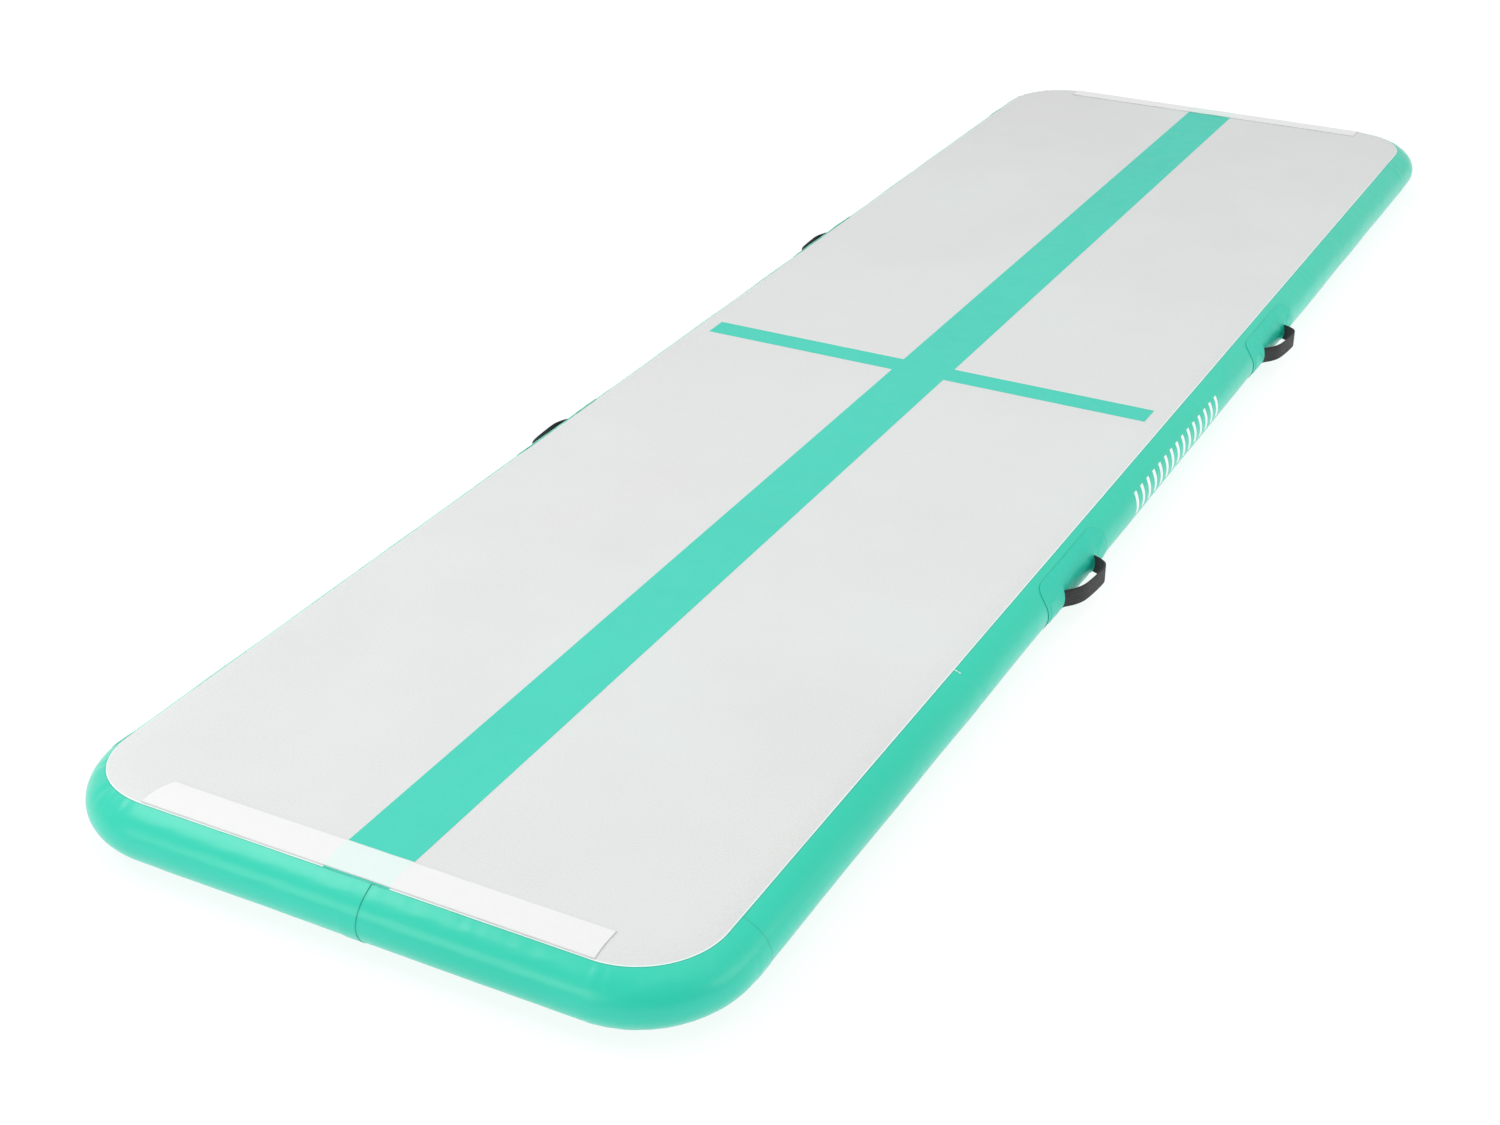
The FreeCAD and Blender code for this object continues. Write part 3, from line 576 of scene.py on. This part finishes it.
def relief(p, down):
    """How far wrinkles lift the wall at each p and angle: slow waves, puckers along the glued edges, which
    are stronger in the corners, fine waves, pulls round the handles' slits, a dent behind each handle, and
    short creases."""
    p, s = np.broadcast_arrays(np.asarray(p, float), arc_at(down))
    inside = p % AROUND
    corner = 0
    for start, length, centre, _, _ in RUNS:
        if centre is not None:
            leaving = smooth(inside, start + length - 0.04, start + length + 0.03)
            corner = corner + smooth(inside, start - 0.03, start + 0.04) * (1 - leaving)
    total = 0.00035 * ripple(p, s, 0.30, 0.16, 3)
    near_edge = np.minimum(s - arc_at(BORDER), arc_at(180 - BORDER) - s)
    edge_zone = smooth(near_edge, 0.0, 0.006) * (1 - smooth(near_edge, 0.012, 0.045))
    total = total + edge_zone * (0.00018 + 0.00042 * corner) * ripple(p, s, 0.030, 0.4, 5)
    total = total + 0.00012 * ripple(p, s, 0.06, 0.03, 7)
    for grip in GRIPS:
        for slit in (-SLIT, SLIT):
            away = np.hypot(p - grip - slit, s - arc_at(90))
            turn = np.arctan2(s - arc_at(90), p - grip - slit)
            pull = bump(away, 0.0, 0.05) * smooth(away, 0.004, 0.02)
            total = total + pull * 0.0005 * np.sin(7 * turn + 3.1 * np.sin(2 * turn))
        total = total - 0.0010 * bump(p, grip, 0.06) * bump(s, arc_at(96), 0.03)
    for at, lean, deep in CREASES:
        total = total - deep * bump(p, at + lean * (s - arc_at(90)), 0.005)
    return total


def level(x, y):
    """No relief, for the sheets that stay plain."""
    return np.zeros_like(x)


def even_border(p):
    return np.full_like(p, BORDER)


def top_relief(x, y):
    """Slow and fine waves of the top sheet."""
    return 0.00012 * ripple(x, y, 0.5, 0.6, 11) + 0.00005 * ripple(x, y, 0.06, 0.06, 12)


def build_walls(finish):
    share = np.linspace(0, 1, 34)[:, None]
    for name, start, end in zip(STRIPS, SEAMS, SEAMS[1:]):
        lap = end + np.array([-LAP_RISE, 0, LAP - 0.001])
        p = np.unique(np.concatenate([stations(start, end + LAP, 0.007), lap]))
        high, low = arc_at(border(p))[None], arc_at(180 - BORDER)
        arc = high + share * (low - high)
        down = angle_at(arc)
        climb = SKIN * smooth(p, end - LAP_RISE, end)[None]
        lift = relief(p[None], down) + climb
        uv = np.stack(np.broadcast_arrays(p[None], arc), -1)
        wall = shell(name + "_skin", skin_points(p, down, lift), skin_points(p, down, lift - SKIN), uv)
        wall.data.materials.append(finish)
        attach(wall, "root")
        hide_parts(name)


def cover(name, node, under, finish, outer, thick, end, rise_at):
    """Sheet over the whole flat, and down the shoulder to the angle that end gives at each p; 0 stops at the
    flat's edge.  rise_at gives its relief over the plan."""
    p = stations(0, AROUND, 0.02, 0.005)[:-1]
    ends = end(p)
    at, out = edge(p)
    spine = np.stack([np.zeros(len(p)), np.clip(at[:, 1], -(FLAT_Y - FLAT_X), FLAT_Y - FLAT_X)], 1)
    inward = np.linspace(0, 1, 22)[:-1]
    flat = spine[None] + inward[:, None, None] * (at - spine)[None]
    down = np.linspace(0, ends, 10) if ends.any() else ends[None]
    grids = []
    for lift in (outer, outer - thick):
        middle = np.concatenate([flat, np.full(flat.shape[:2] + (1,), HEIGHT + lift)], 2)
        if under:
            middle[..., 2] = HEIGHT - middle[..., 2]
        points = np.concatenate([middle, skin_points(p, down, lift, under)])
        rise = rise_at(points[..., 0], points[..., 1])
        points[..., 2] += -rise if under else rise
        grids.append(points)
    stretch = arc_at(down) - BULGE * np.sin(np.radians(down))
    uv = grids[0][..., :2].copy()
    uv[len(inward):] += stretch[..., None] * out[None]
    if under:
        grids = [g[:, ::-1] for g in grids]
        uv = uv[:, ::-1]
    made = weld(shell(name, grids[0], grids[1], uv, closed=True))
    made.data.materials.append(finish)
    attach(made, "root")
    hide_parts(node)


# ---------------------------------------------------------------- markings and joining strips

def top_points(x, y, lift):
    """Points on the top sheet over the plan place x, y, down the end shoulders too."""
    past = np.clip(np.abs(y) - FLAT_Y, 0, None)
    a = np.arcsin(np.clip(past / (BULGE + lift), 0, 1))
    z = MID + (MID + lift) * np.cos(a) + top_relief(x, y)
    return np.stack([x, y, z], -1)


def top_film(name, node, finish, x, y, low, high):
    """Sheet on the top sheet over a grid of plan places, between two lifts, which may be grids."""
    uv = np.stack([x, y], -1)
    made = shell(name, top_points(x, y, high), top_points(x, y, low), uv)
    made.data.materials.append(finish)
    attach(made, "root")
    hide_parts(node)


def grid(xs, ys):
    """Plan grid with rows from high y to low y, so that its faces look up."""
    x, y = np.meshgrid(xs, ys[::-1])
    return x, y


def build_markings(materials):
    film = materials["film"].material
    low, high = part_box("centre_stripe")
    ys = np.unique(np.concatenate([
        np.linspace(-FLAT_Y, FLAT_Y, 170), np.linspace(FLAT_Y, high.y, 9), np.linspace(low.y, -FLAT_Y, 9)
    ]))
    x, y = grid(np.linspace(low.x, high.x, 9), ys)
    top_film("centre_stripe_film", "centre_stripe", film, x, y, FILM_GAP, FILM_THICK)
    for side in ("left", "right"):
        bar = "cross_bar_" + side
        low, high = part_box(bar)
        x, y = grid(np.linspace(low.x, high.x, 40), np.linspace(low.y, high.y, 6))
        top_film(bar + "_film", bar, film, x, y, FILM_GAP, FILM_THICK)


def build_strip(node, materials, peeled):
    """Joining strip.  On a peeled one, a corner of the left end is drawn in and lifts off the sheet."""
    low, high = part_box(node)
    xs, ys = np.linspace(low.x, high.x, 231), np.linspace(low.y, high.y, 19)
    x, y = grid(xs, ys)
    inner = (np.abs(y) - min(abs(low.y), abs(high.y))) / (high.y - low.y)
    if peeled:
        corner = bump(x, low.x, 0.03) * smooth(1 - inner, 0.1, 0.9)
        end = np.clip(1 - (x - low.x) / 0.018, 0, 1)
        x = x + end * 0.016 * (1 - inner) ** 1.5
    else:
        corner = 0
    foot = STRIPE_HALF + 0.0055
    over = FILM_THICK * (smooth(x, -foot, -STRIPE_HALF) - smooth(x, STRIPE_HALF, foot))
    wavy = 0.0003 * ripple(x, y, 0.12, 0.08, 21)
    lift = PILE_TOP + over + np.abs(wavy) + 0.0014 * corner
    pile = materials["strip"].material
    top_film(node + "_pile", node, pile, x, y, lift - PILE_THICK, lift)


# ---------------------------------------------------------------- handles

def spline(points, count):
    """Smooth curve through points."""
    points = np.asarray(points, float)
    padded = np.vstack([2 * points[0] - points[1], points, 2 * points[-1] - points[-2]])
    found = []
    for k in range(len(points) - 1):
        a, b, c, d = padded[k:k + 4]
        t = np.linspace(0, 1, count, endpoint=False)[:, None]
        square = (2 * a - 5 * b + 4 * c - d) * t ** 2
        cube = (3 * b - a - 3 * c + d) * t ** 3
        found.append(0.5 * (2 * b + (c - a) * t + square + cube))
    return np.vstack(found + [points[-1:]])


def build_strap(name, materials):
    """Webbing of one handle: a loop, and its two flattened ends under the patch."""
    side, middle = HANDLES[name]
    body = "handle_" + name
    line = [                                               # along the wall, and out from its widest line
        (-SLIT - TAIL, 0.0008), (-SLIT - TAIL / 2, 0.0008), (-SLIT - 0.004, 0.0010), (-SLIT + 0.003, 0.0030),
        (-SLIT + 0.013, 0.0085), (-SLIT + 0.026, 0.0165), (-SLIT + 0.040, 0.0218), (-0.004, 0.0252),
        (0.022, 0.0276), (0.040, 0.0280), (0.051, 0.0240), (0.059, 0.0145), (SLIT - 0.001, 0.0045),
        (SLIT + 0.004, 0.0010), (SLIT + TAIL / 2, 0.0008), (SLIT + TAIL, 0.0008),
    ]
    path = spline(line, 8)
    stand, droop = (1.0, 0.0) if side > 0 else (LEFT_STAND, LEFT_DROOP)
    along, out = path[:, 0], path[:, 1] * stand
    follow = 1 - smooth(out, 0.002, 0.012)
    thick = TAIL_THICK + (STRAP_THICK - TAIL_THICK) * smooth(out, 0.001, 0.006)
    y = middle + along
    centres = np.stack([side * (HALF_W + out), y, MID - droop * out / out.max()], 1)
    step = np.gradient(centres, axis=0)
    step /= np.linalg.norm(step, axis=1)[:, None]
    across = np.tile([0.0, 0.0, 1.0], (len(y), 1))
    normals = np.cross(step, across)
    strap = tube(body + "_webbing", centres, across, normals, STRAP_HALF, thick)
    count = len(strap.data.vertices) // len(y)
    points = np.array([v.co for v in strap.data.vertices], float)
    bend = np.repeat(follow, count)
    drop = BULGE * (1 - np.sqrt(1 - ((points[:, 2] - MID) / MID) ** 2))
    points[:, 0] -= side * drop * bend
    strap.data.vertices.foreach_set("co", points.astype(np.float32).ravel())
    strap.data.update()
    strap.data.materials.append(materials["web"].material)
    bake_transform(strap)
    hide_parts(body + "_loop", body + "_tails")


def build_patch(name, materials):
    """Patch of one handle, with rounded corners, swollen over the ends of the webbing."""
    side, middle = HANDLES[name]
    body = "handle_" + name
    rows = angle_at(np.linspace(arc_at(90 - PATCH_SPREAD), arc_at(90 + PATCH_SPREAD), 61))
    s = arc_at(rows)
    gap = np.minimum(s - s[0], s[-1] - s)
    inside = np.clip(PATCH_ROUND - gap, 0, PATCH_ROUND)
    half = PATCH_HALF - (PATCH_ROUND - np.sqrt(PATCH_ROUND ** 2 - inside ** 2))
    share = np.linspace(-1, 1, 181)
    a = half[:, None] * share[None]
    p = p_of(side, middle) + a
    height = MID + MID * np.cos(np.radians(rows))[:, None]
    above, away = np.abs(height - MID), np.abs(a)
    over_tail = smooth(away, SLIT - 0.006, SLIT - 0.001)
    over_tail = over_tail * (1 - smooth(away, SLIT + TAIL, SLIT + TAIL + 0.005))
    over_tail = over_tail * (1 - smooth(above, STRAP_HALF, STRAP_HALF + 0.005))
    mouth = bump(away, SLIT - 0.001, 0.004) * (1 - smooth(above, STRAP_HALF, STRAP_HALF + 0.004))
    wrinkle = 0.00022 * ripple(a, s[:, None] + 0 * a, 0.05, 0.05, 31 + int(1000 * abs(middle)))
    lift = relief(p, rows[:, None]) + SKIN + PATCH_GAP
    lift = lift + TAIL_THICK * over_tail + 0.0010 * mouth + np.abs(wrinkle) * 1.5
    angle = np.radians(rows)[:, None]
    grids = []
    for offset in (lift, lift - SKIN):
        x = FLAT_X + (BULGE + offset) * np.sin(angle)
        z = MID + (MID + offset) * np.cos(angle)
        grids.append(np.stack([side * x, middle + side * a, z], -1))
    uv = np.stack(np.broadcast_arrays(p, s[:, None]), -1)
    patch = shell(body + "_cover", grids[0], grids[1], uv)
    patch.data.materials.append(materials["patch"].material)
    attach(patch, "root")
    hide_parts(body + "_patch")


# ---------------------------------------------------------------- inside the mat

def build_ring(name, node, down, outer, thick, under, finish):
    """Sheet all round the mat between the places that down gives, as skin_points takes them."""
    p = stations(0, AROUND, 0.04, 0.01)[:-1]
    arc = arc_at(np.maximum(down, 0))
    wavy = 0.00008 * ripple(p[None], arc[:, None], 0.05, 0.04, 41)
    wavy = np.broadcast_to(wavy, (len(down), len(p)))
    uv = np.stack(np.broadcast_arrays(p[None], np.where(down < 0, down, arc)[:, None]), -1)
    grids = [skin_points(p, down, wavy + outer, under), skin_points(p, down, wavy + outer - thick, under)]
    if under:
        grids = [g[:, ::-1] for g in grids]
        uv = uv[:, ::-1]
    made = shell(name, grids[0], grids[1], uv, closed=True)
    made.data.materials.append(finish)
    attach(made, "root")
    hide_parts(node)


def build_threads(materials):
    """Each CAD thread stands for a bundle of yarns: five yarns here, splayed a little between the plies."""
    low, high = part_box("core_drop_threads")
    pitch, radius, yarns, steps, sides = 0.1, 0.0009, 5, 5, 6
    nx, ny = round((high.x - low.x) / pitch), round((high.y - low.y) / pitch)
    rng = np.random.default_rng(17)
    points, faces = [], []
    turn = np.linspace(0, 2 * math.pi, sides, endpoint=False)
    ring_xy = radius * 0.6 * np.stack([np.cos(turn), np.sin(turn)], 1)
    heights = np.linspace(low.z, high.z, steps)
    for i in range(nx + 1):
        for j in range(ny + 1):
            x, y = (i - nx / 2) * pitch, (j - ny / 2) * pitch
            for k in range(yarns):
                a = 2 * math.pi * k / yarns + rng.uniform(-0.3, 0.3)
                foot = 0.0011 * np.array([math.cos(a), math.sin(a)])
                swing = rng.normal(0, 0.00025, 2)
                start = len(points)
                for h, z in enumerate(heights):
                    share = h / (steps - 1)
                    splay = foot * (0.55 + 0.45 * abs(2 * share - 1))
                    centre = np.array([x, y]) + splay + swing * math.sin(math.pi * share)
                    points += [(*c, z) for c in centre + ring_xy]
                for low_ring in range(start, start + sides * (steps - 1), sides):
                    high_ring = low_ring + sides
                    for m in range(sides):
                        n = (m + 1) % sides
                        faces.append((low_ring + m, low_ring + n, high_ring + n, high_ring + m))
    points = np.array(points)
    made = from_arrays("core_yarns", points, faces, points[:, [0, 2]])
    made.data.materials.append(materials["cloth"].material)
    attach(made, "root")
    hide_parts("core_drop_threads")


def build_inside(materials):
    cloth, tape = materials["cloth"].material, materials["tape"].material
    for side, under in (("top", False), ("bottom", True)):
        cover(
            f"core_{side}_cloth", f"core_{side}_ply", under, cloth, -SKIN, PLY, np.zeros_like,
            level,
        )
        down = np.concatenate([np.linspace(-TAPE_REACH, 0, 4)[:-1], np.linspace(0, TAPE_ANGLE, 12)])
        build_ring(
            f"inner_tape_{side}_skin", "inner_tape_" + side, down, -SKIN - PLY, PLY, under, tape,
        )
    build_ring(
        "inner_wall_cloth", "inner_wall", np.linspace(0, 180, 31), -SKIN, PLY, False, cloth,
    )
    build_threads(materials)


# ---------------------------------------------------------------- valve

def bevel(node, width, finish):
    """Gives a CAD part its material, and rounds its edges where width isn't 0."""
    thing = NODES[node]
    thing.data.materials.clear()
    thing.data.materials.append(finish)
    if width:
        made = thing.modifiers.new("edges", "BEVEL")
        made.width, made.segments, made.limit_method, made.angle_limit = width, 2, "ANGLE", math.radians(40)


def outward(thing):
    """Turns all faces to look out."""
    bm = bmesh.new()
    bm.from_mesh(thing.data)
    bmesh.ops.recalc_face_normals(bm, faces=bm.faces)
    bm.to_mesh(thing.data)
    bm.free()


def build_spring(finish):
    """Closing spring, built at one length; the real spring shortens as the button is pushed in."""
    low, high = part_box("valve_spring")
    middle, wire = (low + high) / 2, SPRING_WIRE / 2
    turn = np.linspace(0, 2 * math.pi * SPRING_TURNS, 24 * SPRING_TURNS + 1)
    around = np.linspace(0, 2 * math.pi, 12, endpoint=False)
    away = np.stack([np.cos(turn), np.zeros_like(turn), np.sin(turn)], 1)
    centres = np.array(middle) + ((high.x - low.x) / 2 - wire) * away
    centres[:, 1] = np.linspace(low.y + wire, high.y - wire, len(turn))
    ring = np.cos(around)[None, :, None] * away[:, None] + np.sin(around)[None, :, None] * np.array([0, 1, 0])
    points = (centres[:, None] + wire * ring).reshape(-1, 3)
    made = from_arrays("valve_coil", points, tube_faces(len(turn), len(around)), points[:, :2], TUBE_SHARP)
    outward(made)
    made.data.materials.append(finish)
    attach(made, "root")
    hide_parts("valve_spring")
    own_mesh(made)


def build_tether(finish):
    """Moulded strap: a collar round the valve's flange, and a tongue that folds back up to the cap's ring."""
    low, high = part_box("valve_tether")
    ring_low, ring_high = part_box("valve_swivel_ring")
    x, outer = (low.x + high.x) / 2, (high.x - low.x) / 2
    near, far = low.y + COLLAR_THICK / 2, (ring_low.y + ring_high.y) / 2
    fold, ring_radius = (far - near) / 2, (ring_high.x - ring_low.x) / 2
    foot = MID - low.z - fold - TETHER_THICK / 2
    half_turn = np.linspace(0, math.pi, 19)
    bend = [((near + far) / 2 - fold * math.cos(a), -foot - fold * math.sin(a)) for a in half_turn]
    line = [(near, -outer + COLLAR_WIDTH / 2), (near, -(outer + foot) / 2)] + bend
    line += [(far, -(ring_radius + foot) / 2), (far, -ring_radius + TETHER_THICK / 2)]
    centres = np.array([(x, y, MID + z) for y, z in line])
    step = np.gradient(centres, axis=0)
    step /= np.linalg.norm(step, axis=1)[:, None]
    across = np.tile([1.0, 0.0, 0.0], (len(line), 1))
    made = tube("valve_strap", centres, across, np.cross(step, across), TETHER_HALF, TETHER_THICK)
    bm = bmesh.new()
    bm.from_mesh(made.data)
    back, front = near - COLLAR_THICK / 2, near + COLLAR_THICK / 2
    section = [                                            # radius and y of the collar's corners
        (outer - COLLAR_ROUND, back), (outer, back + COLLAR_ROUND), (outer, front - COLLAR_ROUND),
        (outer - COLLAR_ROUND, front), (outer - COLLAR_WIDTH, front), (outer - COLLAR_WIDTH, back),
    ]
    loops = []
    for a in np.linspace(0, 2 * math.pi, 96, endpoint=False):
        loops.append([bm.verts.new((x + r * math.cos(a), y, MID + r * math.sin(a))) for r, y in section])
    for one, two in zip(loops, loops[1:] + loops[:1]):
        for m in range(len(section)):
            n = (m + 1) % len(section)
            bm.faces.new((one[m], one[n], two[n], two[m])).smooth = True
    bmesh.ops.recalc_face_normals(bm, faces=bm.faces)
    bm.to_mesh(made.data)
    bm.free()
    made.data.set_sharp_from_angle(angle=math.radians(40))
    made.data.materials.append(finish)
    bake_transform(made)
    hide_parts("valve_tether")


def build_valve():
    grey = hard("valve_plastic", linear(58, 61, 64), 0.42, 900.0, 0.00006, linear(88, 92, 95)).material
    boot = hard("valve_boot", linear(70, 205, 182), 0.45, 700.0, 0.00008, linear(60, 180, 160)).material
    stem = hard("valve_stem", linear(232, 233, 230), 0.4, 900.0, 0.00005, linear(205, 206, 202)).material
    rubber = hard("valve_rubber", linear(36, 36, 37), 0.7, 1200.0, 0.00008, linear(60, 60, 61)).material
    bright, worn = linear(190, 192, 196), linear(150, 150, 152)
    steel = hard("spring_steel", bright, 0.3, 500.0, 0.00002, worn, Metallic=1.0)
    tether = hard("valve_tether", linear(64, 67, 70), 0.5, 900.0, 0.00006, linear(92, 95, 98)).material
    plan = [                                               # node, width of its rounded edges, material, slot
        ("valve_boot", 0.0006, boot, "valve_boot"), ("valve_body", 0.0003, grey, "valve_plastic"),
        ("valve_clamp_nut", 0.0004, grey, "valve_plastic"), ("valve_cap", 0.00025, grey, "valve_plastic"),
        ("valve_swivel_ring", 0.0002, tether, "valve_tether"), ("valve_stem", 0.0003, stem, "valve_stem"),
        ("valve_disc", 0.0003, stem, "valve_stem"), ("valve_spring_seat", 0.0002, stem, "valve_stem"),
        ("valve_gasket", 0.0002, rubber, "valve_rubber"), ("valve_disc_seal", 0.0003, rubber, "valve_rubber"),
        ("valve_cap_seal", 0.0, rubber, "valve_rubber"),
    ]
    for node, width, finish, slot in plan:
        bevel(node, width, finish)
    build_spring(steel.material)
    build_tether(tether)


# ---------------------------------------------------------------- studio

def build_camera():
    place, yaw, down, roll = (1.5046, -3.4839, 1.8001), 28.141, 29.034, -0.303
    y, p, t = (math.radians(v) for v in (yaw, down, roll))
    ahead = Vector((-math.sin(y) * math.cos(p), math.cos(y) * math.cos(p), -math.sin(p)))
    right = Vector((math.cos(y), math.sin(y), 0))
    up = right.cross(ahead)
    right, up = math.cos(t) * right + math.sin(t) * up, -math.sin(t) * right + math.cos(t) * up
    data = bpy.data.cameras.new("camera")
    data.sensor_width, data.lens = 36.0, 54.59
    data.clip_start, data.clip_end = 0.05, 60.0
    data.dof.use_dof = False
    camera = bpy.data.objects.new("camera", data)
    turn = Matrix((right, up, -ahead)).transposed().to_4x4()
    camera.matrix_world = Matrix.Translation(place) @ turn
    bpy.context.scene.collection.objects.link(camera)
    bpy.context.scene.camera = camera


def area_light(name, place, target, size, power):
    data = bpy.data.lights.new(name, "AREA")
    data.shape, data.size, data.size_y, data.energy = "RECTANGLE", size[0], size[1], power
    light = bpy.data.objects.new(name, data)
    light.location = place
    light.rotation_mode = "QUATERNION"
    light.rotation_quaternion = (Vector(target) - Vector(place)).to_track_quat("-Z", "Y")
    bpy.context.scene.collection.objects.link(light)


def build_studio():
    scene = bpy.context.scene
    scene.view_settings.view_transform = "Standard"
    world = bpy.data.worlds.new("studio")
    world.use_nodes = True
    nodes, links = world.node_tree.nodes, world.node_tree.links
    nodes["Background"].inputs[0].default_value = (1, 1, 1, 1)
    toward = nodes.new("ShaderNodeVectorMath")
    toward.operation = "DOT_PRODUCT"
    toward.inputs[1].default_value = (0.75, -0.66, 0)
    dim = nodes.new("ShaderNodeMapRange")             # darker surroundings past the near end's right corner
    for k, value in enumerate((0.55, 1.0, 0.78, 0.42)):
        dim.inputs[k + 1].default_value = value
    links.new(nodes.new("ShaderNodeTexCoord").outputs["Generated"], toward.inputs[0])
    links.new(toward.outputs["Value"], dim.inputs[0])
    links.new(dim.outputs[0], nodes["Background"].inputs[1])
    scene.world = world
    area_light("overhead", (0.3, 0.0, 3.6), (0, 0.3, 0), (3.5, 5.5), 37)
    area_light("front", (-1.6, -5.0, 1.6), (0, -1.5, 0), (2.6, 1.4), 30)
    area_light("side", (4.6, 0.4, 1.6), (0.4, 0.2, 0), (4.0, 1.4), 34)
    area_light("gloss", (-2.1, -2.0, 3.0), (-0.1, -1.7, 0.09), (1.7, 1.2), 30)
    bm = bmesh.new()
    bmesh.ops.create_grid(bm, x_segments=8, y_segments=8, size=FLOOR_HALF)
    mesh = bpy.data.meshes.new("floor")
    bm.to_mesh(mesh)
    bm.free()
    floor = add("floor", mesh)
    made = Finish("floor", (0.2, 0.2, 0.2, 1), 0.9, Emission_Color=(1, 1, 1, 1), Emission_Strength=0.82)
    floor.data.materials.append(made.material)
    floor.location.z = -0.0005


# ---------------------------------------------------------------- build

def main():
    materials = make_materials()
    build_walls(materials["teal"].material)
    grey = materials["grey"].material
    cover("top_sheet_skin", "top_sheet", False, grey, 0.0, SKIN, border, top_relief)
    cover("bottom_sheet_skin", "bottom_sheet", True, grey, 0.0, SKIN, even_border, level)
    build_markings(materials)
    build_strip("loop_strip_near", materials, True)
    build_strip("hook_strip_far", materials, False)
    for name in HANDLES:
        build_strap(name, materials)
        build_patch(name, materials)
    build_inside(materials)
    build_valve()
    build_camera()
    build_studio()


main()
